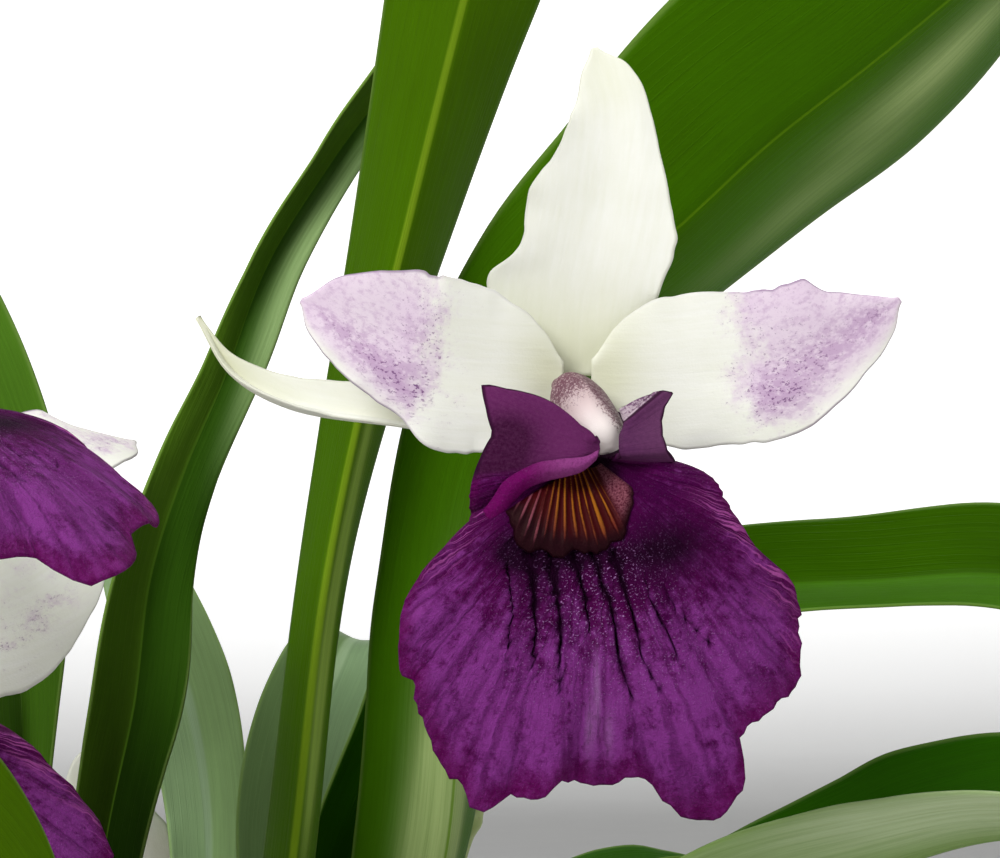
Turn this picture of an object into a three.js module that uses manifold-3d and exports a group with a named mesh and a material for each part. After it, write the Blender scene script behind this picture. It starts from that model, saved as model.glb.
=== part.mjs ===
// Potted cochleanthes orchid: a round clay pot of bark chips, fans of strap leaves and four blooms.
// Millimetres, +Z up. The origin is the middle of the pot's base, and the main bloom faces -Y.

import * as THREE from 'three';
import { mergeVertices } from 'three/addons/utils/BufferGeometryUtils.js';
import Module from 'manifold-3d';

const wasm = await Module();
wasm.setup();

// Pot and bark
const potHeight = 105;
const rimRadius = 60;
const rimHeight = 22;
const rimStep = 3.5;
const baseRadius = 42;
const potWall = 4;
const floorThickness = 6;
const drainRadius = 5;
const drainRing = 24;
const drainCount = 4;
const potSides = 24;
const barkLevel = 95;
const barkDome = 3;
const chipCount = 13;
const chipSize = [14, 9, 6];
const chipRing = 43;
const chipLean = 0.5;
const chipRise = 0.6;

// Plants
const clearance = 0.3;
const weldDistance = 1e-4;
const miterLimit = 0.4;
const tipHalf = 0.4;
const leafThickness = 0.9;
const leafSteps = 13;
const bladeColumns = [-1, -0.55, 0, 0.55, 1];
const farMarginLag = 2;
const stalkRadius = 1.7;
const stalkSteps = 8;
const stalkSides = 6;
const holeDepth = 24;
const holeSides = 5;
const leafHoleMargin = 1.4;
const stalkHoleMargin = 1;

// Blooms, each in a frame with the throat at its origin, facing -Y
const tepalThickness = 0.8;
const tepalSteps = 7;
const lipThickness = 0.8;
const throatDepth = 2.5;
const skirtDepth = 13.5;
const skirtRise = 6.5;
const skirtRecurve = 4;
const frillHeight = 1.3;
const frillCount = 9;
const collarDepth = 8.2;
const callusHeight = 2;
const callusSlope = 0.4;
const ribHeight = 0.8;
const receptacleRadius = 2.2;
const receptacle = new THREE.Vector3(-1.5, 6, 7.6);
const ovaryRun = new THREE.Vector3(0, 20, -3);
const ovaryProfile = [[0, 0], [2, 0.6], [2.7, 8], [2.3, 15], [0, 20]];
const columnBase = new THREE.Vector3(-2.2, 2.6, 7.6);
const columnTip = new THREE.Vector3(1.2, -2.6, 2.8);
const footTop = new THREE.Vector3(-1, 2.4, 5);
const footEnd = new THREE.Vector3(0, 3.1, -1.4);
const footRadius = 1.9;
const flapLeft = { from: -125, to: -80, lean: 4.2, reach: 16 };
const flapRight = { from: 95, to: 127, lean: 3.4, reach: 13 };

// Colours
const clay = 0xb4623f;
const barkBrown = 0x5b3d28;
const brightGreen = 0x437f12;
const midGreen = 0x2a6210;
const darkGreen = 0x184408;
const softGreen = 0x7e9a78;
const stalkGreen = 0x7f9a4a;
const sepalIvory = 0xeeeedc;
const petalWhite = 0xefedf0;
const lipPurple = 0x5c0f63;
const callusOchre = 0x8a4a1c;
const columnPink = 0xd9c4cc;

const root = new THREE.Group();

function material(color, roughness) {
  return new THREE.MeshStandardMaterial({ color, roughness, metalness: 0 });
}

function place(name, geometry, color, roughness, parent = root) {
  const mesh = new THREE.Mesh(geometry, material(color, roughness));
  mesh.name = name;
  parent.add(mesh);
}

function toSolid(geometry, matrix = new THREE.Matrix4()) {
  let bare = geometry.clone().applyMatrix4(matrix);
  bare.deleteAttribute('normal');
  bare.deleteAttribute('uv');
  bare = mergeVertices(bare, weldDistance);
  return new wasm.Manifold(
    new wasm.Mesh({
      numProp: 3,
      vertProperties: new Float32Array(bare.attributes.position.array),
      triVerts: new Uint32Array(bare.index.array),
    })
  );
}

function toGeometry(solid) {
  const parts = solid.decompose();
  parts.sort((a, b) => b.volume() - a.volume());
  const mesh = parts[0].getMesh();
  const geometry = new THREE.BufferGeometry();
  geometry.setAttribute('position', new THREE.Float32BufferAttribute(mesh.vertProperties, 3));
  geometry.setIndex([...mesh.triVerts]);
  geometry.computeVertexNormals();
  return geometry;
}

// Random numbers from a seed, the same on every run
function seeded(seed) {
  let state = seed;
  return () => {
    state = (state * 1664525 + 1013904223) % 4294967296;
    return state / 4294967296;
  };
}

function smooth(from, to, value) {
  const share = THREE.MathUtils.clamp((value - from) / (to - from), 0, 1);
  return share * share * (3 - 2 * share);
}

// The value at t of a smooth curve through an evenly spaced list
function along(list, t) {
  const last = list.length - 1;
  const place = t * last;
  const i = Math.min(Math.floor(place), last - 1);
  const f = place - i;
  const [a, b, c, d] = [list[Math.max(i - 1, 0)], list[i], list[i + 1], list[Math.min(i + 2, last)]];
  const bend = 2 * a - 5 * b + 4 * c - d;
  const twist = 3 * b - a - 3 * c + d;
  return b + 0.5 * f * (c - a + f * (bend + f * twist));
}

function facing(list, t) {
  const place = t * (list.length - 1);
  const i = Math.min(Math.floor(place), list.length - 2);
  return new THREE.Vector3(...list[i]).lerp(new THREE.Vector3(...list[i + 1]), place - i);
}

// A blade's middle surface. t runs along the spine and v from -1 at one margin to 1 at the other.
// The blade is folded along its spine by an angle, cupped, and waved at its margins.
function bladeSurface({ spine, face, half, fold, cup = 0, wave = 0, waves = 2 }) {
  const curve = new THREE.CatmullRomCurve3(spine.map((point) => new THREE.Vector3(...point)));
  return (t, v) => {
    const tangent = curve.getTangentAt(t);
    const up = facing(face, t).projectOnPlane(tangent).normalize();
    const side = new THREE.Vector3().crossVectors(tangent, up);
    const width = Math.max(along(half, t), tipHalf);
    const angle = THREE.MathUtils.degToRad(along(fold, t));
    const across = Math.abs(v) * width;
    const turn = 2 * Math.PI * waves * t + (v > 0 ? farMarginLag : 0);
    const lift = cup * v * v * width + wave * v * v * Math.sin(Math.PI * t) * Math.sin(turn);
    return curve
      .getPointAt(t)
      .addScaledVector(side, Math.sign(v) * across * Math.cos(angle))
      .addScaledVector(up, across * Math.sin(angle) + lift);
  };
}

// A closed sheet on a grid of points: two faces half a thickness off the grid, and the rim between
function sheet(grid, thickness) {
  const rows = grid.length;
  const columns = grid[0].length;
  const slopes = (i, j) => {
    const here = grid[i][j];
    const normals = [];
    for (const [di, dj] of [[1, 1], [1, -1], [-1, 1], [-1, -1]]) {
      const ahead = grid[i + di]?.[j];
      const beside = grid[i]?.[j + dj];
      if (ahead && beside) {
        const cross = new THREE.Vector3()
          .subVectors(ahead, here)
          .cross(new THREE.Vector3().subVectors(beside, here))
          .multiplyScalar(di * dj);
        normals.push(cross.normalize());
      }
    }
    return normals;
  };
  const positions = [];
  const offsets = grid.map((row, i) =>
    row.map((point, j) => {
      const normals = slopes(i, j);
      const mean = normals.reduce((sum, n) => sum.add(n), new THREE.Vector3()).normalize();
      const lean = Math.min(...normals.map((n) => n.dot(mean)));
      return mean.multiplyScalar(thickness / 2 / Math.max(lean, miterLimit));
    })
  );
  for (const sign of [1, -1]) {
    grid.forEach((row, i) =>
      row.forEach((point, j) => positions.push(...point.clone().addScaledVector(offsets[i][j], sign)))
    );
  }
  const count = rows * columns;
  const at = (i, j, under) => i * columns + j + (under ? count : 0);
  const index = [];
  for (let i = 0; i < rows - 1; i++) {
    for (let j = 0; j < columns - 1; j++) {
      const [a, b, c, d] = [[i, j], [i + 1, j], [i + 1, j + 1], [i, j + 1]];
      index.push(at(...a), at(...b), at(...c), at(...a), at(...c), at(...d));
      index.push(at(...a, 1), at(...c, 1), at(...b, 1), at(...a, 1), at(...d, 1), at(...c, 1));
    }
  }
  const border = [];
  for (let j = 0; j < columns - 1; j++) border.push([0, j]);
  for (let i = 0; i < rows - 1; i++) border.push([i, columns - 1]);
  for (let j = columns - 1; j > 0; j--) border.push([rows - 1, j]);
  for (let i = rows - 1; i > 0; i--) border.push([i, 0]);
  border.forEach((from, k) => {
    const to = border[(k + 1) % border.length];
    index.push(at(...from), at(...to), at(...to, 1), at(...from), at(...to, 1), at(...from, 1));
  });
  const geometry = new THREE.BufferGeometry();
  geometry.setAttribute('position', new THREE.Float32BufferAttribute(positions, 3));
  geometry.setIndex(index);
  geometry.computeVertexNormals();
  return geometry;
}

function blade(spec, steps, thickness) {
  const surface = bladeSurface(spec);
  const grid = [];
  for (let i = 0; i <= steps; i++) {
    grid.push(bladeColumns.map((v) => surface(i / steps, v)));
  }
  return sheet(grid, thickness);
}

// A solid turned about the line from one point to another; profile points are [radius, height]
function turned(profile, from, to, sides) {
  const points = profile.map(([radius, height]) => new THREE.Vector2(radius, height));
  const axis = new THREE.Vector3().subVectors(to, from).normalize();
  const turn = new THREE.Quaternion().setFromUnitVectors(new THREE.Vector3(0, 1, 0), axis);
  const matrix = new THREE.Matrix4().compose(from, turn, new THREE.Vector3(1, 1, 1));
  return toSolid(new THREE.LatheGeometry(points, sides), matrix);
}

// Pot
const stepRadius = rimRadius - rimStep;
const innerRim = rimRadius - potWall - 1;
const innerBase = baseRadius - potWall;

function innerRadius(z) {
  return THREE.MathUtils.mapLinear(z, floorThickness, potHeight, innerBase, innerRim);
}

function pot() {
  const profile = [
    [0, 0],
    [baseRadius - 1, 0],
    [baseRadius, 1],
    [stepRadius, potHeight - rimHeight],
    [rimRadius - 0.8, potHeight - rimHeight + 0.8],
    [rimRadius, potHeight - 1.5],
    [rimRadius - 1.5, potHeight],
    [innerRim + 1, potHeight],
    [innerRadius(potHeight - 1), potHeight - 1],
    [innerBase, floorThickness],
    [0, floorThickness],
  ];
  const up = new THREE.Vector3(0, 0, 1);
  let body = turned(profile, new THREE.Vector3(), up, potSides);
  for (let k = 0; k < drainCount; k++) {
    const angle = (2 * Math.PI * (k + 0.5)) / drainCount;
    const low = new THREE.Vector3(drainRing * Math.cos(angle), drainRing * Math.sin(angle), -1);
    const drill = [[0, 0], [drainRadius, 0], [drainRadius, floorThickness + 2], [0, floorThickness + 2]];
    body = body.subtract(turned(drill, low, low.clone().add(up), 8));
  }
  place('pot', toGeometry(body), clay, 0.8);
}

// Leaves: spine points, the way the upper face looks, half widths and fold angles along the length
const leaves = {
  // Waved dark leaf at the left, with its far end behind the centre strap
  leaf_waved_left: {
    color: midGreen,
    spine: [
      [-22, 6, 90], [-21, 9, 120], [-20.3, 10, 144], [-16, 10, 166], [-13.7, 10, 184],
      [-9, 10, 199], [-3.5, 10, 212], [2.5, 10, 228], [12, 10, 243], [24, 11, 260], [36, 16, 287],
    ],
    face: [[0.3, -0.95, 0], [0.1, -1, 0], [0.6, -0.7, 0.3], [0.4, -0.8, 0.3]],
    half: [4, 5, 5.6, 6.7, 7.7, 6, 4.8, 4.6, 4.4, 3.4, 0.4],
    fold: [60, 45, 38, 30, 30, 35, 35, 30, 25],
    wave: 2,
    waves: 3,
  },
  // Tall centre strap, closed low down and opening upwards
  leaf_centre_strap: {
    color: brightGreen,
    spine: [
      [1, -14, 90], [4, -17, 118], [7.9, -20, 147], [12, -20, 182], [16.7, -20, 206],
      [22, -20, 227], [31, -20, 263], [41, -22, 300], [50, -30, 330], [55, -40, 348],
    ],
    face: [[-0.1, 1, 0], [-0.1, 1, 0], [-0.1, 1, 0], [-0.2, 0.9, 0.2]],
    half: [5, 8, 9, 9, 10, 11.5, 12.5, 13, 12, 8, 0.4],
    fold: [66, 67, 68, 69, 60, 44, 20, 15, 12],
  },
  // Broad leaf that rises behind the main bloom and arches to the upper right
  leaf_broad_right: {
    color: brightGreen,
    spine: [
      [16, -8, 90], [22, -10, 120], [28.4, -10, 148], [31, -10, 180], [36, -10, 203],
      [48, -10, 222], [60.5, -10, 233], [73, -10, 244.5], [87, -12, 255.5], [99.5, -14, 266],
      [117, -18, 281.5], [136, -24, 294], [152, -32, 302],
    ],
    face: [
      [-0.6, 0.8, 0], [-0.6, 0.8, 0], [-0.4, 0.88, 0.1], [-0.37, 0.82, 0.42], [-0.48, 0.68, 0.55],
      [-0.48, 0.68, 0.55],
    ],
    half: [4.5, 8.4, 12.2, 12.5, 13.2, 17.5, 23, 26, 24, 15, 0.4],
    fold: [60, 45, 37, 34, 26, 20, 30, 26],
  },
  // Dark leaf between the centre strap and the broad leaf
  leaf_dark_middle: {
    color: darkGreen,
    spine: [
      [7, 15, 90], [10, 15, 120], [15.5, 15, 144], [22, 15, 160], [31, 17, 180], [42, 22, 200],
      [54, 32, 212], [66, 48, 210],
    ],
    face: [[-0.3, -1, 0], [-0.3, -0.9, 0.2], [-0.4, -0.5, 0.8]],
    half: [4.5, 6, 7, 7.5, 8, 8, 5.5, 0.4],
    fold: [60, 45, 35, 28, 20, 15],
  },
  // Level leaf at the right
  leaf_level_right: {
    color: midGreen,
    spine: [
      [25, 18, 90], [27, 23, 128], [29.5, 25, 145], [34, 25, 157], [42, 24, 169], [55, 22, 178.5],
      [72, 20, 182], [90, 20, 183], [108, 20, 183.8], [130, 22, 179], [150, 25, 168], [164, 28, 154],
    ],
    face: [[-0.6, -0.8, 0], [-0.6, -0.7, 0.3], [-0.1, -0.72, 0.7], [0, -0.72, 0.7]],
    half: [4.5, 5, 5.5, 6.5, 8, 9.5, 10.5, 11, 10, 7, 0.4],
    fold: [65, 60, 50, 35, 22, 15, 12],
    wave: 1.4,
    waves: 3,
  },
  // Channelled leaf at the lower right
  leaf_channel_right: {
    color: midGreen,
    spine: [
      [32, -16, 90], [44, -27, 117], [60, -36, 136], [83, -40, 146], [102, -42, 151.5],
      [124, -44, 149.5], [144, -47, 137], [156, -49, 122],
    ],
    face: [[-0.6, 0.3, 0.6], [-0.6, 0.3, 0.7], [0, -0.31, 0.95], [0.3, -0.25, 0.88]],
    half: [5, 8, 11, 13.5, 14, 11, 7, 0.4],
    fold: [62, 56, 50, 48, 42, 34, 25],
  },
  // Leaf behind the two blooms at the left edge
  leaf_far_left: {
    color: midGreen,
    spine: [
      [-32, 14, 90], [-32, 14, 125], [-32, 14, 150], [-33, 12, 175], [-39, 10, 198],
      [-51, 10, 224], [-65, 12, 246], [-81, 14, 257], [-98, 16, 254],
    ],
    face: [[0, -1, 0], [0, -1, 0], [0.2, -0.9, 0.3], [0.3, -0.7, 0.6]],
    half: [4.5, 5.5, 6.5, 9, 14, 14.5, 13, 9, 0.4],
    fold: [62, 58, 55, 40, 22, 18, 15],
  },
  // Bright leaf at the lower left, nearest the front
  leaf_front_left: {
    color: brightGreen,
    spine: [
      [-9, -36, 90], [-8, -50, 109], [-11, -69, 127], [-20, -84, 143], [-25, -91, 153.5],
      [-30.5, -96.5, 161], [-38.5, -101, 167], [-50, -106, 170], [-65, -110, 168], [-82, -114, 158],
      [-95, -116, 142],
    ],
    face: [[0, 1, 0.3], [0.3, 0.8, 0.5], [0.2, 0.75, 0.65], [0.1, 0.5, 0.85]],
    half: [4.5, 4, 4, 4.6, 7, 10, 11.5, 8, 0.4],
    fold: [62, 60, 55, 35, 20, 15],
  },
  // Two soft leaves at the back that part from one foot and arch away
  leaf_back_left: {
    color: softGreen,
    spine: [
      [-9, 32, 90], [-8.5, 47, 120], [-8.5, 60, 146], [-12, 66, 164], [-18, 72, 178], [-22, 82, 185],
      [-25, 96, 183],
    ],
    face: [[0, -1, 0], [0, -1, 0.1], [0, -0.6, 0.8]],
    half: [4, 5, 5.8, 6.8, 7.5, 6, 0.4],
    fold: [60, 45, 25, 15, 12],
  },
  leaf_back_right: {
    color: softGreen,
    spine: [
      [6, 33, 90], [5, 41, 118], [5, 48, 146], [8, 52, 160], [11, 57, 168], [13, 66, 172],
      [15, 79, 170], [17, 92, 161],
    ],
    face: [[0, -1, 0], [0, -1, 0.1], [0, -0.6, 0.8]],
    half: [4.5, 6, 7.5, 9, 9.5, 8, 5.5, 0.4],
    fold: [60, 45, 25, 15, 12],
  },
  // Low leaves that fill the plant out all round
  leaf_low_back_right: {
    color: midGreen,
    spine: [[22, 32, 90], [33, 48, 116], [50, 68, 131], [72, 88, 131], [92, 104, 116], [106, 114, 94]],
    face: [[-0.5, -0.5, 0.5], [-0.3, -0.3, 0.9], [0.2, 0.2, 0.9]],
    half: [4.5, 7, 10.5, 12, 10, 6, 0.4],
    fold: [60, 45, 28, 18, 15],
    wave: 1.2,
  },
  leaf_low_back_left: {
    color: midGreen,
    spine: [[-24, 26, 90], [-40, 40, 114], [-62, 52, 127], [-86, 62, 125], [-106, 70, 107], [-118, 75, 86]],
    face: [[0.5, -0.5, 0.5], [0.3, -0.3, 0.9], [-0.2, 0.2, 0.9]],
    half: [4.5, 7, 10.5, 12, 10, 6, 0.4],
    fold: [60, 45, 28, 18, 15],
    wave: 1.2,
  },
  leaf_low_front_right: {
    color: brightGreen,
    spine: [[19, -32, 90], [30, -52, 116], [44, -76, 127], [60, -100, 121], [73, -120, 101], [81, -132, 78]],
    face: [[-0.5, 0.5, 0.5], [-0.3, 0.3, 0.9], [0.2, -0.2, 0.9]],
    half: [4.5, 7, 10.5, 12, 10, 6, 0.4],
    fold: [60, 45, 28, 18, 15],
    wave: 1.2,
  },
  leaf_low_left: {
    color: midGreen,
    spine: [[-38, -4, 90], [-58, -7, 114], [-84, -11, 122], [-110, -14, 110], [-127, -15, 88]],
    face: [[0.6, 0, 0.6], [0.3, 0, 0.9], [-0.3, 0, 0.9]],
    half: [4.5, 7, 10.5, 11.5, 9.5, 6, 0.4],
    fold: [60, 45, 28, 18, 15],
    wave: 1.2,
  },
  leaf_low_right: {
    color: midGreen,
    spine: [[40, 4, 90], [59, 4, 113], [84, 3, 121], [110, 1, 110], [129, -2, 90]],
    face: [[-0.6, 0, 0.6], [-0.3, 0, 0.9], [0.3, 0, 0.9]],
    half: [4.5, 7, 10.5, 11.5, 9.5, 6, 0.4],
    fold: [60, 45, 28, 18, 15],
    wave: 1.2,
  },
};

function leafNodes() {
  for (const [name, spec] of Object.entries(leaves)) {
    place(name, blade(spec, leafSteps, leafThickness), spec.color, 0.45);
  }
}

// Where each bloom's throat lies, its turn about X, Y and Z in degrees, how far its lateral sepals spread,
// and the ribs of its callus. Each stalk runs through its own points from the bark to the bloom.
const blooms = {
  bloom_a: {
    throat: [47.2, -75, 201.8],
    turn: [0, 0, 0],
    spread: 1,
    ribs: 10,
    stalk: [[17, 12, 90], [24, 11, 120], [29.8, 8.5, 145], [36.5, 5, 163], [42, -12, 183]],
  },
  bloom_b: {
    throat: [-39, -84, 203],
    turn: [-63, 14, 37],
    spread: 0.55,
    ribs: 5,
    stalk: [[-37, -14, 90], [-46, -20, 112], [-74, -38, 136], [-84, -62, 160], [-70, -80, 182]],
  },
  bloom_c: {
    throat: [-47.5, -48, 166],
    turn: [-24, -11, 14],
    spread: 0.55,
    ribs: 5,
    stalk: [[-26, -24, 90], [-36, -25, 120]],
  },
  bloom_d: {
    throat: [-22, 84, 119],
    turn: [-35, 0, 180],
    spread: 1,
    ribs: 5,
    stalk: [[-20, 38, 90], [-20, 41, 100], [-20.2, 48.5, 108.3]],
  },
};

// Tepals. The left petal and the right one differ a little, as on the plant.
const front = [0, -1, 0];
const tepals = {
  dorsal_sepal: {
    spine: [
      [-1.6, 7.8, 10], [-1, 7.3, 19], [0.4, 5.8, 27], [1.9, 4.7, 36], [2.4, 4.5, 43.5], [0.6, 5.5, 51],
    ],
    face: [front, front],
    half: [1.8, 7.4, 11.4, 10, 8.6, 6.2, 3.8, 0.4],
    fold: [4, 4],
    cup: 0.1,
  },
  petal_left: {
    spine: [
      [-3.3, 5.2, 10.4], [-8, 4.6, 10.6], [-13.4, 3.9, 10.9], [-22, 3, 12], [-30, 3.4, 15.8],
      [-36.1, 4.5, 19.3],
    ],
    face: [front, front],
    half: [1.3, 7.6, 10.8, 11.3, 10.5, 6.6, 0.4],
    fold: [4, 4],
    cup: 0.08,
  },
  petal_right: {
    spine: [
      [0.3, 5.2, 10.4], [8, 4.2, 10.3], [18.7, 3.2, 11.2], [26, 3, 12.4], [32.3, 3.4, 14.6],
      [38.9, 4.6, 19.4],
    ],
    face: [front, front],
    half: [1.3, 8, 9.6, 9.8, 9.2, 5.4, 0.4],
    fold: [4, 4],
    cup: -0.06,
  },
  lateral_sepal_left: {
    spine: [[-3, 7.8, 6], [-14, 11, 5], [-26, 14, 7], [-38, 17, 9], [-50, 20, 18]],
    face: [[0, -0.7, 0.7], [0.2, -0.7, 0.7]],
    half: [2, 4.6, 5.2, 4, 0.4],
    fold: [30, 50, 50],
  },
  lateral_sepal_right: {
    spine: [[0.1, 7.8, 5.9], [10, 12, 4.6], [20, 17, 6], [30, 22, 8], [38, 26, 13]],
    face: [[0, -0.7, 0.7], [-0.2, -0.7, 0.7]],
    half: [2, 4.6, 5.2, 4, 0.4],
    fold: [30, 50, 50],
  },
};

// Margin of the lip about the throat: [angle from straight down, distance]. The ends are the collar's flaps.
const lipOutline = [
  [-168, 2], [-156, 4.8], [-142, 8.2], [-132, 11.8], [-123, 15.9], [-113, 13.8], [-102, 12.6], [-90, 13.2],
  [-76, 15.2], [-65, 16.2], [-58, 20.9], [-52, 28.5], [-45, 33.4], [-39, 35.8], [-32, 39.4], [-24, 43],
  [-17, 46.4], [-10, 43.4], [-3, 40.4], [4, 41], [10, 40.8], [15, 46.8], [20, 47.6], [25, 45], [30, 40],
  [38, 38.8], [46, 37], [53, 32.7], [60, 24.6], [69, 18.9], [80, 13.6], [94, 9.2], [110, 9.2], [126, 12.8],
  [136, 8],
];
const lipRings = [0, 0.22, 0.5, 0.8, 1];
const lipStart = 1;
const collarLeft = [-76, -62];
const collarRight = [78, 94];

function lipReach(angle) {
  const k = lipOutline.findIndex(([a]) => a >= angle);
  if (k < 1) return lipOutline.at(k).at(1);
  const [a0, r0] = lipOutline[k - 1];
  const [a1, r1] = lipOutline[k];
  return THREE.MathUtils.mapLinear(angle, a0, a1, r0, r1);
}

// The lip's middle surface, r millimetres from the throat: a domed skirt with a frilled margin, and a
// collar that stands forward of the column on both sides
function lipPoint(angle, r) {
  const share = r / lipReach(angle);
  const turn = THREE.MathUtils.degToRad(angle);
  const dome = throatDepth - skirtDepth * (1 - Math.exp(-r / skirtRise));
  const frill = frillHeight * share ** 4 * Math.sin(frillCount * turn);
  const skirt = dome + skirtRecurve * share ** 3 + frill;
  const leanLeft = (flapLeft.lean * (1 - smooth(flapLeft.from, flapLeft.to, angle)) * r) / flapLeft.reach;
  const leanRight = (flapRight.lean * smooth(flapRight.from, flapRight.to, angle) * r) / flapRight.reach;
  const collar = -collarDepth + leanLeft + leanRight;
  const inCollar = 1 - smooth(...collarLeft, angle) + smooth(...collarRight, angle);
  const depth = THREE.MathUtils.lerp(skirt, collar, inCollar);
  return new THREE.Vector3(r * Math.sin(turn), depth, -r * Math.cos(turn));
}

function lipSheet(thickness, start = lipStart) {
  const grid = lipOutline.map(([angle, reach]) =>
    lipRings.map((share) => lipPoint(angle, THREE.MathUtils.lerp(Math.min(start, reach / 2), reach, share)))
  );
  return sheet(grid, thickness);
}

// Callus: a fan of ribs on the lip, below the column
const callusAngles = [-57, 52];
const callusStart = 1.6;
const callusReach = [14, 15.4, 12.2, 11.2, 12, 11.6, 8];

function callusSolid(ribs) {
  const columns = 2 * ribs;
  const rings = 2;
  const top = [];
  const under = [];
  for (let i = 0; i <= columns; i++) {
    const angle = THREE.MathUtils.lerp(...callusAngles, i / columns);
    const reach = along(callusReach, i / columns);
    const ridge = i % 2 ? ribHeight : 0;
    const row = [];
    const low = [];
    for (let j = 0; j <= rings; j++) {
      const r = THREE.MathUtils.lerp(callusStart, reach, j / rings);
      const point = lipPoint(angle, r);
      const height = callusHeight - (callusSlope * j) / rings + ridge;
      row.push(point.clone().add(new THREE.Vector3(0, -height, 0)));
      low.push(point);
    }
    top.push(row);
    under.push(low);
  }
  return between(top, under);
}

// A closed solid between two grids of the same size
function between(top, under) {
  const middle = top.map((row, i) => row.map((point, j) => point.clone().lerp(under[i][j], 0.5)));
  const geometry = sheet(middle, 1);
  const positions = geometry.attributes.position;
  const columns = top[0].length;
  const count = top.length * columns;
  const first = new THREE.Vector3().fromBufferAttribute(positions, 0);
  const topIsFirst = first.distanceTo(top[0][0]) < first.distanceTo(under[0][0]);
  for (let k = 0; k < count; k++) {
    const i = Math.floor(k / columns);
    const j = k % columns;
    const [a, b] = topIsFirst ? [top, under] : [under, top];
    positions.setXYZ(k, ...a[i][j]);
    positions.setXYZ(k + count, ...b[i][j]);
  }
  return geometry;
}

// Column with its hood and its foot, which the lip hangs from
function columnSolid() {
  const length = columnBase.distanceTo(columnTip);
  const bar = [
    [0, -1.5],
    [2.4, -1],
    [3.2, 1.5],
    [3.4, length * 0.6],
    [2.8, length],
    [1.3, length + 1.2],
    [0, length + 1.4],
  ];
  const footLength = footTop.distanceTo(footEnd);
  const foot = [[0, 0], [footRadius, 0], [footRadius, footLength - 1], [0, footLength]];
  const body = turned(bar, columnBase, columnTip, 7).add(turned(foot, footTop, footEnd, 5));
  const knob = new THREE.SphereGeometry(receptacleRadius + clearance, 7, 5);
  const seat = toSolid(knob, new THREE.Matrix4().setPosition(receptacle));
  return body.subtract(seat);
}

// A geometry with its faces turned out
function orient(geometry) {
  const index = geometry.index;
  const positions = geometry.attributes.position;
  const corner = (k) => new THREE.Vector3().fromBufferAttribute(positions, index.getX(k));
  let volume = 0;
  for (let k = 0; k < index.count; k += 3) {
    volume += corner(k).dot(corner(k + 1).cross(corner(k + 2)));
  }
  if (volume < 0) {
    for (let k = 0; k < index.count; k += 3) {
      const second = index.getX(k + 1);
      index.setX(k + 1, index.getX(k + 2));
      index.setX(k + 2, second);
    }
    geometry.computeVertexNormals();
  }
  return geometry;
}

// A spine drawn in towards its first point
function drawnIn(spine, spread) {
  const [start] = spine;
  return spine.map((point) => point.map((value, k) => start[k] + spread * (value - start[k])));
}

function bloomNodes() {
  for (const [name, { throat, turn, spread, ribs }] of Object.entries(blooms)) {
    const group = new THREE.Group();
    const [x, y, z] = turn.map((angle) => THREE.MathUtils.degToRad(angle));
    group.position.set(...throat);
    group.rotation.set(x, y, z, 'ZXY');
    root.add(group);
    for (const [part, spec] of Object.entries(tepals)) {
      const color = part.includes('petal') ? petalWhite : sepalIvory;
      const spine = part.includes('lateral') ? drawnIn(spec.spine, spread) : spec.spine;
      const tepal = blade({ ...spec, spine }, tepalSteps, tepalThickness);
      place(`${name}_${part}`, orient(tepal), color, 0.6, group);
    }
    place(`${name}_lip`, orient(lipSheet(lipThickness)), lipPurple, 0.55, group);
    const lip = toSolid(orient(lipSheet(lipThickness + 2 * clearance)));
    const callus = toSolid(orient(callusSolid(ribs))).subtract(lip);
    place(`${name}_callus`, toGeometry(callus), callusOchre, 0.4, group);
    place(`${name}_column`, toGeometry(columnSolid()), columnPink, 0.5, group);
  }
}

// Stalks, each with the ovary and the knob that carries the bloom
function stalkSolid({ throat, turn, stalk }) {
  const [x, y, z] = turn.map((angle) => THREE.MathUtils.degToRad(angle));
  const quaternion = new THREE.Quaternion().setFromEuler(new THREE.Euler(x, y, z, 'ZXY'));
  const toWorld = (point) => point.clone().applyQuaternion(quaternion).add(new THREE.Vector3(...throat));
  const knob = toWorld(receptacle);
  const neck = toWorld(receptacle.clone().add(ovaryRun));
  const corners = [];
  for (let k = 0; k < stalkSides; k++) {
    const angle = (2 * Math.PI * k) / stalkSides;
    corners.push(new THREE.Vector2(stalkRadius * Math.cos(angle), stalkRadius * Math.sin(angle)));
  }
  const section = new THREE.Shape(corners);
  const points = stalk.map((point) => new THREE.Vector3(...point));
  const path = new THREE.CatmullRomCurve3([...points, neck, neck.clone().lerp(knob, 0.3)]);
  const settings = { extrudePath: path, steps: stalkSteps, bevelEnabled: false };
  const tube = new THREE.ExtrudeGeometry(section, settings);
  const body = toSolid(orientTube(tube)).add(turned(ovaryProfile, neck, knob, stalkSides));
  const sphere = new THREE.SphereGeometry(receptacleRadius, 7, 5);
  return body.add(toSolid(sphere, new THREE.Matrix4().setPosition(knob)));
}

function orientTube(tube) {
  let bare = tube.clone();
  bare.deleteAttribute('normal');
  bare.deleteAttribute('uv');
  bare = mergeVertices(bare, weldDistance);
  return orient(bare);
}

function stalkNodes() {
  for (const [name, spec] of Object.entries(blooms)) {
    place(name.replace('bloom', 'stalk'), toGeometry(stalkSolid(spec)), stalkGreen, 0.5);
  }
}

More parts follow.
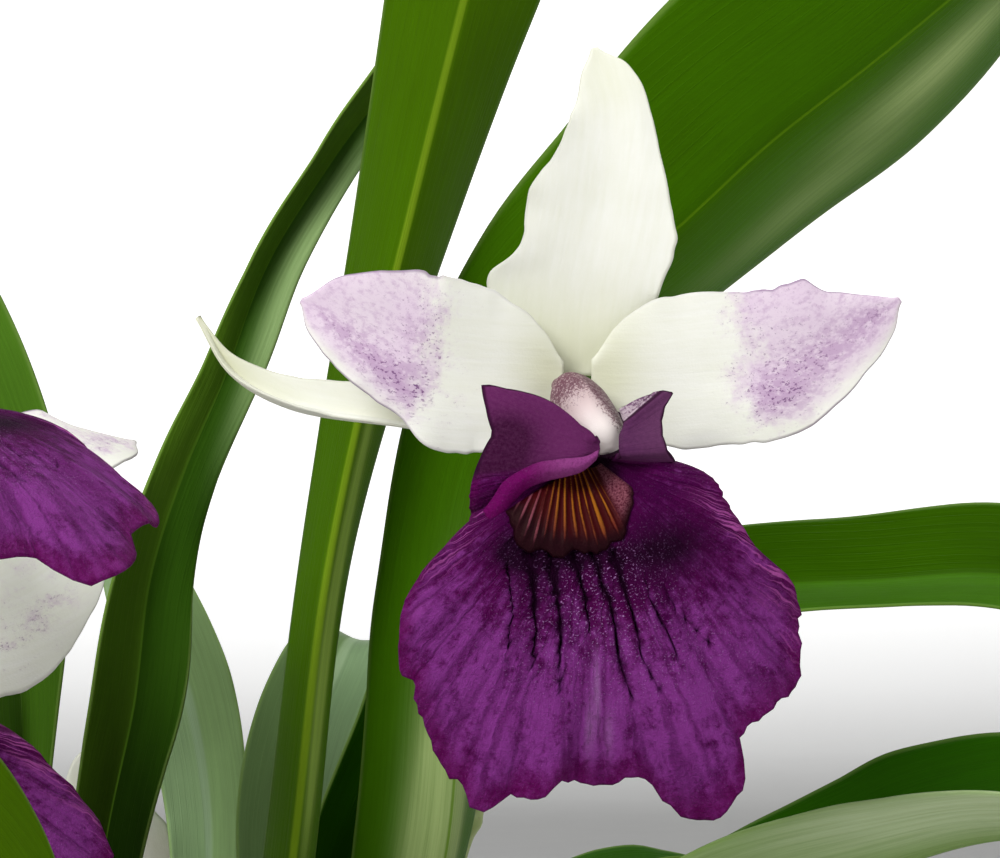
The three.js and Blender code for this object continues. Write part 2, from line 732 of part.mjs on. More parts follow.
// Bark: a domed body with chips sunk in its top, and a plain hole for each leaf and stalk
function bark() {
  const foot = floorThickness + clearance;
  const domeTop = barkLevel + barkDome;
  const profile = [
    [0, foot],
    [innerRadius(foot) - clearance, foot],
    [innerRadius(barkLevel) - clearance, barkLevel],
    [innerRadius(barkLevel) * 0.6, barkLevel + barkDome * 0.6],
    [0, domeTop],
  ];
  let body = turned(profile, new THREE.Vector3(), new THREE.Vector3(0, 0, 1), potSides);
  const random = seeded(7);
  const golden = Math.PI * (3 - Math.sqrt(5));
  for (let k = 0; k < chipCount; k++) {
    const radius = chipRing * Math.sqrt((k + 0.5) / chipCount);
    const angle = k * golden;
    const size = chipSize.map((side) => side * (0.75 + 0.5 * random()));
    const [leanX, leanY] = [chipLean * (random() - 0.5), chipLean * (random() - 0.5)];
    const tilt = new THREE.Euler(leanX, leanY, 2 * Math.PI * random(), 'ZYX');
    const seat = new THREE.Vector3(
      radius * Math.cos(angle),
      radius * Math.sin(angle),
      domeTop - (barkDome * radius) / chipRing + chipRise
    );
    const turn = new THREE.Quaternion().setFromEuler(tilt);
    const matrix = new THREE.Matrix4().compose(seat, turn, new THREE.Vector3(1, 1, 1));
    body = body.add(toSolid(new THREE.BoxGeometry(...size), matrix));
  }
  const stems = [
    ...Object.values(leaves).map(({ spine, half }) => [spine, along(half, 0.1) + leafHoleMargin]),
    ...Object.values(blooms).map(({ stalk }) => [stalk, stalkRadius + stalkHoleMargin]),
  ];
  for (const [points, radius] of stems) {
    const from = new THREE.Vector3(...points[0]);
    const axis = new THREE.Vector3(...points[1]).sub(from).normalize();
    const low = from.clone().addScaledVector(axis, -clearance);
    const hole = [[0, 0], [radius, 0], [radius, holeDepth], [0, holeDepth]];
    body = body.subtract(turned(hole, low, low.clone().add(axis), holeSides));
  }
  place('bark', toGeometry(body), barkBrown, 0.9);
}

pot();
bark();
leafNodes();
stalkNodes();
bloomNodes();

export default root;
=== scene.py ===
import math

import bpy
import numpy as np
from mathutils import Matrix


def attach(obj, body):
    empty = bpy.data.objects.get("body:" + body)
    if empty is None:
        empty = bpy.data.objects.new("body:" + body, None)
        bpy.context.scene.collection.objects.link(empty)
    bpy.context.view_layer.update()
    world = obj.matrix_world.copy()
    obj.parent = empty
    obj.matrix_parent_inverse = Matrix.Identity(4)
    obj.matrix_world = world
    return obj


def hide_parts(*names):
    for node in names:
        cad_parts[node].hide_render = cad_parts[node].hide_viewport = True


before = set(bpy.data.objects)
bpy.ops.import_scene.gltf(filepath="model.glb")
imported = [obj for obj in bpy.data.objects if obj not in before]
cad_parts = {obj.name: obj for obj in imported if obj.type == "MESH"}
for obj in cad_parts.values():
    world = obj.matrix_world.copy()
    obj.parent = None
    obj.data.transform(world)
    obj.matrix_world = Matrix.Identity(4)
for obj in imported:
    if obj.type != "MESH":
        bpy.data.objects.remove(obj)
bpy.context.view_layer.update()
millimetre = 0.001
detail = 1.0


# curves and fields

def throughPoints(points, share):
    # a smooth curve through the points; share runs from 0 at the first to 1 at the last
    points = np.array(points, float)
    line = np.vstack([2 * points[0] - points[1], points, 2 * points[-1] - points[-2]])
    place = np.clip(share, 0, 1) * (len(points) - 1)
    k = np.minimum(place.astype(int), len(points) - 2)
    f = (place - k)[:, None]
    a, b, c, d = (line[k + n] for n in range(4))
    g, h, i = (np.sqrt(np.maximum(np.linalg.norm(q - p, axis=1), 1e-6))[:, None]
               for p, q in ((a, b), (b, c), (c, d)))
    leave = ((b - a) / g - (c - a) / (g + h) + (c - b) / h) * h
    arrive = ((c - b) / h - (d - b) / (h + i) + (d - c) / i) * h
    bend, twist = 3 * (c - b) - 2 * leave - arrive, 2 * (b - c) + leave + arrive
    return b + leave * f + bend * f ** 2 + twist * f ** 3


def evenly(points, count):
    # the same curve at evenly spaced lengths, with its directions and its length
    fine = np.linspace(0, 1, 1201)
    line = throughPoints(points, fine)
    run = np.concatenate([[0], np.cumsum(np.linalg.norm(np.diff(line, axis=0), axis=1))])
    share = np.interp(np.linspace(0, 1, count) * run[-1], run, fine)
    curve = throughPoints(points, share)
    return curve, unit(np.gradient(curve, axis=0)), run[-1]


def unit(vectors):
    return vectors / np.maximum(np.linalg.norm(vectors, axis=-1, keepdims=True), 1e-12)


def along(values, t):
    # smooth curve through evenly spaced values
    values = np.array(values, float)
    last = len(values) - 1
    place = np.clip(t, 0, 1) * last
    i = np.minimum(place.astype(int), last - 1)
    f = place - i
    a, b, c, d = values[np.maximum(i - 1, 0)], values[i], values[i + 1], values[np.minimum(i + 2, last)]
    return b + 0.5 * f * (c - a + f * (2 * a - 5 * b + 4 * c - d + f * (3 * b - a - 3 * c + d)))


def facing(vectors, t):
    # directions between evenly spaced ones
    vectors = np.array(vectors, float)
    place = t * (len(vectors) - 1)
    i = np.minimum(place.astype(int), len(vectors) - 2)
    f = (place - i)[:, None]
    return vectors[i] * (1 - f) + vectors[i + 1] * f


def smooth(low, high, value):
    # 0 at low, 1 at high, smooth between
    share = np.clip((value - low) / (high - low), 0, 1)
    return share * share * (3 - 2 * share)


def wander(x, y, seed):
    # soft seeded noise from -1 to 1
    x, y = np.broadcast_arrays(np.asarray(x, float), np.asarray(y, float))
    i, j = np.floor(x), np.floor(y)
    u, w = smooth(0, 1, x - i), smooth(0, 1, y - j)

    def corner(a, b):
        value = np.sin(a * 127.1 + b * 311.7 + seed * 74.7) * 43758.5453
        return 2 * (value - np.floor(value)) - 1

    low = corner(i, j) * (1 - u) + corner(i + 1, j) * u
    high = corner(i, j + 1) * (1 - u) + corner(i + 1, j + 1) * u
    return low * (1 - w) + high * w


def spots(v, t, places):
    # the sum of soft patches, each (v, t, width in v, width in t, strength)
    total = np.zeros(np.broadcast(v, t).shape)
    for v0, t0, dv, dt, strength in places:
        total = total + strength * np.exp(-((v - v0) / dv) ** 2 - ((t - t0) / dt) ** 2)
    return np.clip(total, 0, 1)


# meshes

def meshPiece(name, shape, node, material):
    # shape is (points, quads, triangles, fields)
    points, quads, triangles, fields = shape
    mesh = bpy.data.meshes.new(name)
    corners = np.concatenate([quads.ravel(), triangles.ravel()]).astype(np.int32)
    starts = np.concatenate([np.arange(len(quads)) * 4, quads.size + np.arange(len(triangles)) * 3])
    mesh.vertices.add(len(points))
    mesh.vertices.foreach_set("co", (points * millimetre).astype(np.float32).ravel())
    mesh.loops.add(len(corners))
    mesh.loops.foreach_set("vertex_index", corners)
    mesh.polygons.add(len(starts))
    mesh.polygons.foreach_set("loop_start", starts.astype(np.int32))
    mesh.polygons.foreach_set("use_smooth", np.ones(len(starts), bool))
    mesh.update(calc_edges=True)
    for field, values in fields.items():
        values = np.asarray(values, np.float32)
        if values.ndim == 2 and values.shape[1] == 3:
            mesh.attributes.new(field, "FLOAT_VECTOR", "POINT").data.foreach_set("vector", values.ravel())
        else:
            mesh.attributes.new(field, "FLOAT", "POINT").data.foreach_set("value", values.ravel())
    mesh.materials.append(material)
    piece = bpy.data.objects.new(name, mesh)
    bpy.context.scene.collection.objects.link(piece)
    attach(piece, "root")
    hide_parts(node)
    return piece


noTriangles = np.zeros((0, 3), int)


def gridFaces(index):
    # the quads of a grid of point numbers
    return np.stack([index[:-1, :-1], index[1:, :-1], index[1:, 1:], index[:-1, 1:]], -1).reshape(-1, 4)


def ringFaces(index):
    # the quads between rings of point numbers, which close on themselves, and a fan at each end
    rows, sides = index.shape
    onward = np.roll(index, -1, axis=1)
    quads = np.stack([index[:-1], onward[:-1], onward[1:], index[1:]], -1).reshape(-1, 4)
    first = np.stack([onward[0], index[0], np.full(sides, rows * sides)], -1)
    last = np.stack([index[-1], onward[-1], np.full(sides, rows * sides + 1)], -1)
    return quads, np.concatenate([first, last])


def shell(top, under, fields):
    # a closed body between two grids; each field is a tuple of grids and comes back for both of them
    rows, columns = top.shape[:2]
    points = np.concatenate([top.reshape(-1, 3), under.reshape(-1, 3)])
    index = np.arange(rows * columns).reshape(rows, columns)
    quads = gridFaces(index)
    ring = np.concatenate([index[0, :-1], index[:-1, -1], index[-1, :0:-1], index[:0:-1, 0]])
    onward = np.roll(ring, -1)
    half = rows * columns
    rim = np.stack([ring, onward, onward + half, ring + half], -1)
    faces = np.concatenate([quads, quads[:, ::-1] + half, rim])
    a, b, c, d = (points[faces[:, n]] for n in range(4))
    if np.sum(a * np.cross(b, c)) + np.sum(a * np.cross(c, d)) < 0:
        faces = faces[:, ::-1]
    both = {}
    for field, values in fields.items():
        full = [np.broadcast_to(value, (rows, columns)).ravel() for value in values]
        values = np.stack(full, -1)
        both[field] = np.concatenate([values, values])
    both["upper"] = np.concatenate([np.ones(half), np.zeros(half)])
    return points, faces, noTriangles, both


def skin(grid, thickness, fields, upward):
    # a sheet with its two faces half a thickness off a grid of points
    normals = unit(np.cross(np.gradient(grid, axis=0), np.gradient(grid, axis=1)))
    if np.sum(normals * upward) < 0:
        normals = -normals
    offset = normals * (np.broadcast_to(thickness, grid.shape[:2]) / 2)[..., None]
    return shell(grid + offset, grid - offset, fields)


def tube(centre, radius, sides, up):
    # a round bar along a line, closed by a fan at both ends; share is (turn, along, 0)
    tangent = unit(np.gradient(centre, axis=0))
    side = unit(np.cross(tangent, np.array(up, float)))
    other = np.cross(side, tangent)
    angle = np.linspace(0, 2 * math.pi, sides, endpoint=False)
    ring = np.cos(angle)[None, :, None] * side[:, None] + np.sin(angle)[None, :, None] * other[:, None]
    rows = len(centre)
    points = (centre[:, None] + ring * np.broadcast_to(radius, (rows,))[:, None, None]).reshape(-1, 3)
    quads, fans = ringFaces(np.arange(rows * sides).reshape(rows, sides))
    points = np.vstack([points, centre[0], centre[-1]])
    turn = np.append(np.tile(angle, rows), [0, 0])
    run = np.append(np.repeat(np.linspace(0, 1, rows), sides), [0, 1])
    return points, quads, fans, {"share": np.stack([turn, run, 0 * run], -1)}


def lathe(profile, sides):
    # a profile of (radius, height) turned about the Z axis, closed where it meets the axis
    profile = np.array(profile, float)
    angle = np.linspace(0, 2 * math.pi, sides, endpoint=False)
    ring = np.stack([np.cos(angle), np.sin(angle)], -1)
    body = profile[1:-1]
    points = np.concatenate([body[:, None, :1] * ring, np.repeat(body[:, None, 1:], sides, 1)], -1)
    quads, fans = ringFaces(np.arange(len(body) * sides).reshape(len(body), sides))
    points = np.vstack([points.reshape(-1, 3), [0, 0, profile[0, 1]], [0, 0, profile[-1, 1]]])
    return points, quads, fans, {}


def together(shapes):
    # several shapes as one; a field that one of them lacks is filled with zeros
    fields = {key: value.shape[1:] for shape in shapes for key, value in shape[3].items()}
    points, quads, triangles, start = [], [], [], 0
    gathered = {key: [] for key in fields}
    for shape in shapes:
        points.append(shape[0])
        quads.append(shape[1] + start)
        triangles.append(shape[2] + start)
        for key, tail in fields.items():
            gathered[key].append(shape[3].get(key, np.zeros((len(shape[0]),) + tail)))
        start += len(shape[0])
    return (np.concatenate(points), np.concatenate(quads), np.concatenate(triangles),
            {key: np.concatenate(values) for key, values in gathered.items()})


# materials

class Wire:
    # a shader socket that takes part in Python sums
    def __init__(self, tree, socket=None):
        self.tree = tree
        self.socket = socket

    def node(self, kind, settings=None, inputs=None, output=0):
        made = self.tree.nodes.new(kind)
        for key, value in (settings or {}).items():
            setattr(made, key, value)
        for key, value in (inputs or {}).items():
            if isinstance(value, Wire):
                self.tree.links.new(value.socket, made.inputs[key])
            else:
                made.inputs[key].default_value = value
        return Wire(self.tree, made.outputs[output] if made.outputs else None)

    def sum(self, operation, *values, clamp=False):
        settings = {"operation": operation, "use_clamp": clamp}
        return self.node("ShaderNodeMath", settings, dict(enumerate(values)))

    def __add__(self, other):
        return self.sum("ADD", self, other)

    def __radd__(self, other):
        return self.sum("ADD", other, self)

    def __sub__(self, other):
        return self.sum("SUBTRACT", self, other)

    def __rsub__(self, other):
        return self.sum("SUBTRACT", other, self)

    def __mul__(self, other):
        return self.sum("MULTIPLY", self, other)

    def __rmul__(self, other):
        return self.sum("MULTIPLY", other, self)

    def __pow__(self, other):
        return self.sum("POWER", self, other)

    def __abs__(self):
        return self.sum("ABSOLUTE", self)

    def clamped(self):
        return self.sum("ADD", self, 0.0, clamp=True)

    def step(self, low, high):
        # 0 below low, 1 above high, smooth between
        return self.node("ShaderNodeMapRange", {"interpolation_type": "SMOOTHSTEP"},
                         {"Value": self, "From Min": low, "From Max": high})

    def between(self, first, second):
        # from the first colour to the second as this goes from 0 to 1
        return self.node("ShaderNodeMix", {"data_type": "RGBA"}, {0: self, 6: first, 7: second}, output=2)

    def lit(self, light):
        # this colour times a number
        return self.node("ShaderNodeMix", {"data_type": "RGBA", "blend_type": "MULTIPLY"},
                         {0: 1.0, 6: self, 7: light.joined(light, light)}, output=2)

    def parts(self):
        split = self.node("ShaderNodeSeparateXYZ", inputs={0: self}).socket.node
        return [Wire(self.tree, socket) for socket in split.outputs]

    def joined(self, y, z):
        return self.node("ShaderNodeCombineXYZ", inputs={0: self, 1: y, 2: z})

    def noise(self, scale=1.0, octaves=2.0, rough=0.5):
        return self.node("ShaderNodeTexNoise", None,
                         {"Vector": self, "Scale": scale, "Detail": octaves, "Roughness": rough})


def tint(red, green, blue):
    # a screen colour from 0 to 255 as the shader's own
    share = [value / 255 for value in (red, green, blue)]
    return tuple(v / 12.92 if v <= 0.04045 else ((v + 0.055) / 1.055) ** 2.4 for v in share) + (1.0,)


def makeMaterial(name, build, plain):
    # build takes a Wire and returns the sockets that vary; plain holds the shader's fixed values
    material = bpy.data.materials.new(name)
    material.use_nodes = True
    tree = material.node_tree
    tree.nodes.clear()
    varied = build(Wire(tree))
    bump = varied.pop("bump", None)
    inputs = {**plain, **varied}
    if bump is not None:
        height, strength, distance = bump
        bumps = {"Strength": strength, "Distance": distance * millimetre, "Height": height}
        inputs["Normal"] = height.node("ShaderNodeBump", None, bumps)
    shader = Wire(tree).node("ShaderNodeBsdfPrincipled", None, inputs)
    shader.node("ShaderNodeOutputMaterial", None, {"Surface": shader})
    return material


def field(start, name):
    # three numbers that a mesh carries at each point
    return start.node("ShaderNodeAttribute", {"attribute_name": name}, output="Vector")


def amount(start, name):
    # one number that a mesh carries at each point
    return start.node("ShaderNodeAttribute", {"attribute_name": name}, output="Fac")


# camera, backdrop and light

studio = {
    "eye": (0.036, -0.675, 0.205), "lens": 173.66, "floorRadius": 1.8, "sweep": 1.3, "wallHeight": 3.4,
    "sunk": 0.0005, "bendRows": 17, "columns": 97, "paper": ((214, 214, 213), (219, 219, 218)), "world": 0.28,
    "glow": 1.0, "glowMiddle": (0.04, 0.25), "glowReach": (0.6, 1.3), "glowFrom": (1.8, 2.5),
    # place, target, power and width of each lamp
    "lamps": {
        "key": ((-0.75, -0.95, 1.05), (0.03, -0.05, 0.2), 19.2, 0.7),
        "fill": ((0.95, -0.75, 0.45), (0.03, -0.05, 0.2), 3.5, 0.9),
        "top": ((0.1, 0.25, 1.35), (0.03, 0.0, 0.2), 5.8, 0.9),
    },
}


def makeStudio():
    camera = bpy.data.cameras.new("camera")
    camera.lens = studio["lens"]
    camera.sensor_width = 36
    camera.clip_end = 20
    eye = bpy.data.objects.new("camera", camera)
    eye.location = studio["eye"]
    eye.rotation_euler = (math.pi / 2, 0, 0)
    bpy.context.scene.collection.objects.link(eye)
    bpy.context.scene.camera = eye

    flat, sweep, high = studio["floorRadius"], studio["sweep"], studio["wallHeight"]
    turn = np.linspace(0, math.pi / 2, studio["bendRows"])
    radius = np.concatenate([[0.001, flat * 0.5], flat + sweep * np.sin(turn), [flat + sweep]])
    height = np.concatenate([[0, 0], sweep * (1 - np.cos(turn)), [high]]) - studio["sunk"]
    angle = np.linspace(0, 2 * math.pi, studio["columns"])
    points = np.stack([radius[:, None] * np.cos(angle), radius[:, None] * np.sin(angle),
                       np.repeat(height[:, None], len(angle), 1)], -1)
    mesh = bpy.data.meshes.new("backdrop")
    rows, columns = points.shape[:2]
    index = np.arange(rows * columns).reshape(rows, columns)
    mesh.from_pydata(points.reshape(-1, 3).tolist(), [], gridFaces(index).tolist())
    mesh.polygons.foreach_set("use_smooth", np.ones(len(mesh.polygons), bool))

    def paper(start):
        place = start.node("ShaderNodeNewGeometry", output="Position")
        x, y, z = place.parts()
        grain = place.noise(40.0, 3.0)
        # the wall behind the plant glows white, and fades out to the sides
        middleX, middleZ = studio["glowMiddle"]
        off = ((x - middleX) ** 2 + (z - middleZ) ** 2) ** 0.5
        glow = (1 - off.step(*studio["glowReach"])) * y.step(*studio["glowFrom"]) * studio["glow"]
        return {
            "Base Color": grain.between(*(tint(*colour) for colour in studio["paper"])),
            "Emission Color": glow.between((0, 0, 0, 1), (1, 1, 1, 1)),
            "Roughness": 0.85 + 0.1 * grain,
        }

    backdrop = bpy.data.objects.new("backdrop", mesh)
    plain = {"Emission Strength": 1.0, "Specular IOR Level": 0.1}
    mesh.materials.append(makeMaterial("backdropPaper", paper, plain))
    bpy.context.scene.collection.objects.link(backdrop)

    for name, (place, target, power, size) in studio["lamps"].items():
        lamp = bpy.data.lights.new(name, "AREA")
        lamp.energy = power
        lamp.shape = "DISK"
        lamp.size = size
        light = bpy.data.objects.new(name, lamp)
        light.location = place
        away = np.array(place) - np.array(target)
        light.rotation_euler = (math.atan2(math.hypot(away[0], away[1]), away[2]), 0,
                                math.atan2(away[0], -away[1]))
        bpy.context.scene.collection.objects.link(light)

    world = bpy.data.worlds.new("room")
    world.use_nodes = True
    sky = world.node_tree.nodes["Background"]
    sky.inputs["Color"].default_value = (1, 1, 1, 1)
    sky.inputs["Strength"].default_value = studio["world"]
    bpy.context.scene.world = world
    bpy.context.scene.view_settings.view_transform = "Standard"
    print("studio ready")


makeStudio()


# leaves

leafLook = {
    "rows": 150, "columns": 30, "lowRows": 84, "lowColumns": 20, "thick": 0.9, "edge": 0.4, "crease": 0.05,
    "bulge": 0.035, "tip": 0.4, "ridge": 0.16, "ridgeWidth": 0.7, "uneven": 0.35, "notched": 0.3,
    "edgeLine": (140, 170, 88), "under": (110, 140, 12), "gloss": 0.1, "glossTint": (0.4, 0.7, 0.1, 1),
}

# spine, way the upper face looks, half widths and fold angles, as the solids have them; minus and plus are
# the colours of the two halves, with painted light and shade: lighter on the half that faces the light;
# glow and dark are patches of (across, along, width, length, strength): glow is painted sheen, dark is
# painted shade
leaves = {
    "leaf_waved_left": {
        "slot": "leaf_mid", "minus": (86, 124, 30), "plus": (50, 88, 16),
        "rib": (84, 124, 32), "ribWidth": 0.4,
        "glow": [(0.85, 0.72, 0.4, 0.08, 1.1), (0.9, 0.62, 0.3, 0.06, 0.7)],
        "glowColour": (150, 178, 118), "dark": [(0, 0.24, 1.6, 0.13, 1.45)],
        "spine": [
            [-22, 6, 90], [-21, 9, 120], [-20.3, 10, 144], [-16, 10, 166], [-13.7, 10, 184], [-9, 10, 199],
            [-3.5, 10, 212], [2.5, 10, 228], [12, 10, 243], [24, 11, 260], [36, 16, 287],
        ],
        "face": [[0.3, -0.95, 0], [0.1, -1, 0], [0.6, -0.7, 0.3], [0.4, -0.8, 0.3]],
        "half": [4, 5, 5.6, 6.7, 7.7, 6, 4.8, 4.6, 4.4, 3.4, 0.4],
        "fold": [60, 45, 38, 30, 30, 35, 35, 30, 25], "wave": 2, "waves": 3,
    },
    "leaf_centre_strap": {
        "slot": "leaf_bright", "minus": (62, 104, 0), "plus": (56, 98, 0),
        "rib": (118, 148, 30), "ribWidth": 0.7,
        "glow": [(-0.36, 0.31, 0.22, 0.08, 2.2), (-0.3, 0.42, 0.16, 0.06, 0.8)],
        "glowColour": (150, 176, 84),
        "spine": [
            [1, -14, 90], [4, -17, 118], [7.9, -20, 147], [12, -20, 182], [16.7, -20, 206], [22, -20, 227],
            [31, -20, 263], [41, -22, 300], [50, -30, 330], [55, -40, 348],
        ],
        "face": [[-0.1, 1, 0], [-0.1, 1, 0], [-0.1, 1, 0], [-0.2, 0.9, 0.2]],
        "half": [5, 8, 9, 9, 10, 11.5, 12.5, 13, 12, 8, 0.4],
        "fold": [66, 67, 68, 69, 60, 44, 20, 15, 12],
    },
    "leaf_broad_right": {
        "slot": "leaf_bright", "minus": (52, 104, 0), "plus": (44, 96, 0),
        "rib": (88, 130, 10), "ribWidth": 0.3,
        "glow": [(-0.45, 0.72, 0.18, 0.06, 1.0), (-0.7, 0.63, 0.16, 0.06, 0.5), (0.06, 0.21, 0.3, 0.08, 3.5)],
        "glowColour": (172, 192, 128),
        "dark": [(0.3, 0.5, 0.5, 0.1, 0.3)],
        "spine": [
            [16, -8, 90], [22, -10, 120], [28.4, -10, 148], [31, -10, 180], [36, -10, 203], [48, -10, 222],
            [60.5, -10, 233], [73, -10, 244.5], [87, -12, 255.5], [99.5, -14, 266], [117, -18, 281.5],
            [136, -24, 294], [152, -32, 302],
        ],
        "face": [
            [-0.6, 0.8, 0], [-0.6, 0.8, 0], [-0.4, 0.88, 0.1], [-0.37, 0.82, 0.42], [-0.48, 0.68, 0.55],
            [-0.48, 0.68, 0.55],
        ],
        "half": [4.5, 8.4, 12.2, 12.5, 13.2, 17.5, 23, 26, 24, 15, 0.4],
        "fold": [60, 45, 37, 34, 26, 20, 30, 26],
    },
    "leaf_dark_middle": {
        "slot": "leaf_dark", "minus": (22, 60, 0), "plus": (16, 46, 0),
        "rib": (50, 90, 14), "ribWidth": 0.4,
        "spine": [
            [7, 15, 90], [10, 15, 120], [15.5, 15, 144], [22, 15, 160], [31, 17, 180], [42, 22, 200],
            [54, 32, 212], [66, 48, 210],
        ],
        "face": [[-0.3, -1, 0], [-0.3, -0.9, 0.2], [-0.4, -0.5, 0.8]],
        "half": [4.5, 6, 7, 7.5, 8, 8, 5.5, 0.4], "fold": [60, 45, 35, 28, 20, 15],
    },
    "leaf_level_right": {
        "slot": "leaf_mid", "minus": (50, 90, 0), "plus": (62, 112, 0),
        "rib": (54, 96, 0), "ribWidth": 0.15,
        "glow": [(-0.6, 0.85, 0.4, 0.1, 0.4)],
        "glowColour": (96, 132, 50), "dark": [(0.5, 0.55, 0.5, 0.1, 0.5)],
        "spine": [
            [25, 18, 90], [27, 23, 128], [29.5, 25, 145], [34, 25, 157], [42, 24, 169], [55, 22, 178.5],
            [72, 20, 182], [90, 20, 183], [108, 20, 183.8], [130, 22, 179], [150, 25, 168], [164, 28, 154],
        ],
        "face": [[-0.6, -0.8, 0], [-0.6, -0.7, 0.3], [-0.1, -0.72, 0.7], [0, -0.72, 0.7]],
        "half": [4.5, 5, 5.5, 6.5, 8, 9.5, 10.5, 11, 10, 7, 0.4], "fold": [65, 60, 50, 35, 22, 15, 12],
        "wave": 1.4, "waves": 3,
    },
    "leaf_channel_right": {
        "slot": "leaf_mid", "minus": (36, 88, 0), "plus": (96, 138, 34),
        "rib": (60, 96, 30), "ribWidth": 0.4,
        "glow": [(0.8, 0.62, 0.55, 0.22, 1.3)], "glowColour": (190, 206, 168), "farther": 0.16,
        "spine": [
            [32, -16, 90], [44, -27, 117], [60, -36, 136], [83, -40, 146], [102, -42, 151.5],
            [124, -44, 149.5], [144, -47, 137], [156, -49, 122],
        ],
        "face": [[-0.6, 0.3, 0.6], [-0.6, 0.3, 0.7], [0, -0.31, 0.95], [0.3, -0.25, 0.88]],
        "half": [5, 8, 11, 13.5, 14, 11, 7, 0.4], "fold": [62, 56, 50, 48, 42, 34, 25],
    },
    "leaf_far_left": {
        "slot": "leaf_mid", "minus": (84, 124, 40), "plus": (76, 118, 30),
        "rib": (104, 142, 60), "ribWidth": 0.4,
        "spine": [
            [-32, 14, 90], [-32, 14, 125], [-32, 14, 150], [-33, 12, 175], [-39, 10, 198], [-51, 10, 224],
            [-65, 12, 246], [-81, 14, 257], [-98, 16, 254],
        ],
        "face": [[0, -1, 0], [0, -1, 0], [0.2, -0.9, 0.3], [0.3, -0.7, 0.6]],
        "half": [4.5, 5.5, 6.5, 9, 14, 14.5, 13, 9, 0.4], "fold": [62, 58, 55, 40, 22, 18, 15],
    },
    "leaf_front_left": {
        "slot": "leaf_bright", "minus": (62, 100, 0), "plus": (54, 92, 0),
        "rib": (138, 166, 60), "ribWidth": 0.25,
        "spine": [
            [-9, -36, 90], [-8, -50, 109], [-11, -69, 127], [-20, -84, 143], [-25, -91, 153.5],
            [-30.5, -96.5, 161], [-38.5, -101, 167], [-50, -106, 170], [-65, -110, 168], [-82, -114, 158],
            [-95, -116, 142],
        ],
        "face": [[0, 1, 0.3], [0.3, 0.8, 0.5], [0.2, 0.75, 0.65], [0.1, 0.5, 0.85]],
        "half": [4.5, 4, 4, 4.6, 7, 10, 11.5, 8, 0.4], "fold": [62, 60, 55, 35, 20, 15],
    },
    "leaf_back_left": {
        "slot": "leaf_soft", "minus": (156, 186, 136), "plus": (140, 170, 114), "rib": (150, 174, 140),
        "ribWidth": 1.2,
        "spine": [
            [-9, 32, 90], [-8.5, 47, 120], [-8.5, 60, 146], [-12, 66, 164], [-18, 72, 178], [-22, 82, 185],
            [-25, 96, 183],
        ],
        "face": [[0, -1, 0], [0, -1, 0.1], [0, -0.6, 0.8]],
        "half": [4, 5, 5.8, 6.8, 7.5, 6, 0.4], "fold": [60, 45, 25, 15, 12],
    },
    "leaf_back_right": {
        "slot": "leaf_soft", "minus": (112, 142, 88), "plus": (126, 154, 112), "rib": (146, 170, 132),
        "ribWidth": 1.2,
        "spine": [
            [6, 33, 90], [5, 41, 118], [5, 48, 146], [8, 52, 160], [11, 57, 168], [13, 66, 172],
            [15, 79, 170], [17, 92, 161],
        ],
        "face": [[0, -1, 0], [0, -1, 0.1], [0, -0.6, 0.8]],
        "half": [4.5, 6, 7.5, 9, 9.5, 8, 5.5, 0.4], "fold": [60, 45, 25, 15, 12],
    },
    "leaf_low_back_right": {
        "slot": "leaf_mid", "low": True,
        "spine": [
            [22, 32, 90], [33, 48, 116], [50, 68, 131], [72, 88, 131], [92, 104, 116], [106, 114, 94],
        ],
        "face": [[-0.5, -0.5, 0.5], [-0.3, -0.3, 0.9], [0.2, 0.2, 0.9]],
    },
    "leaf_low_back_left": {
        "slot": "leaf_mid", "low": True,
        "spine": [
            [-24, 26, 90], [-40, 40, 114], [-62, 52, 127], [-86, 62, 125], [-106, 70, 107], [-118, 75, 86],
        ],
        "face": [[0.5, -0.5, 0.5], [0.3, -0.3, 0.9], [-0.2, 0.2, 0.9]],
    },
    "leaf_low_front_right": {
        "slot": "leaf_bright", "low": True,
        "spine": [
            [19, -32, 90], [30, -52, 116], [44, -76, 127], [60, -100, 121], [73, -120, 101], [81, -132, 78],
        ],
        "face": [[-0.5, 0.5, 0.5], [-0.3, 0.3, 0.9], [0.2, -0.2, 0.9]],
    },
    "leaf_low_left": {
        "slot": "leaf_mid", "low": True,
        "spine": [[-38, -4, 90], [-58, -7, 114], [-84, -11, 122], [-110, -14, 110], [-127, -15, 88]],
        "face": [[0.6, 0, 0.6], [0.3, 0, 0.9], [-0.3, 0, 0.9]], "half": [4.5, 7, 10.5, 11.5, 9.5, 6, 0.4],
    },
    "leaf_low_right": {
        "slot": "leaf_mid", "low": True,
        "spine": [[40, 4, 90], [59, 4, 113], [84, 3, 121], [110, 1, 110], [129, -2, 90]],
        "face": [[-0.6, 0, 0.6], [-0.3, 0, 0.9], [0.3, 0, 0.9]], "half": [4.5, 7, 10.5, 11.5, 9.5, 6, 0.4],
    },
}
# what every leaf has unless its own entry says otherwise, and what the low ones have besides
anyLeaf = {"glow": [], "glowColour": (96, 132, 50), "dark": [], "farther": 0, "wave": 0, "waves": 2}
lowLeaf = {
    "minus": (40, 88, 2), "plus": (46, 96, 2), "rib": (92, 132, 34), "ribWidth": 0.4,
    "half": [4.5, 7, 10.5, 12, 10, 6, 0.4], "fold": [60, 45, 28, 18, 15], "wave": 1.2,
}


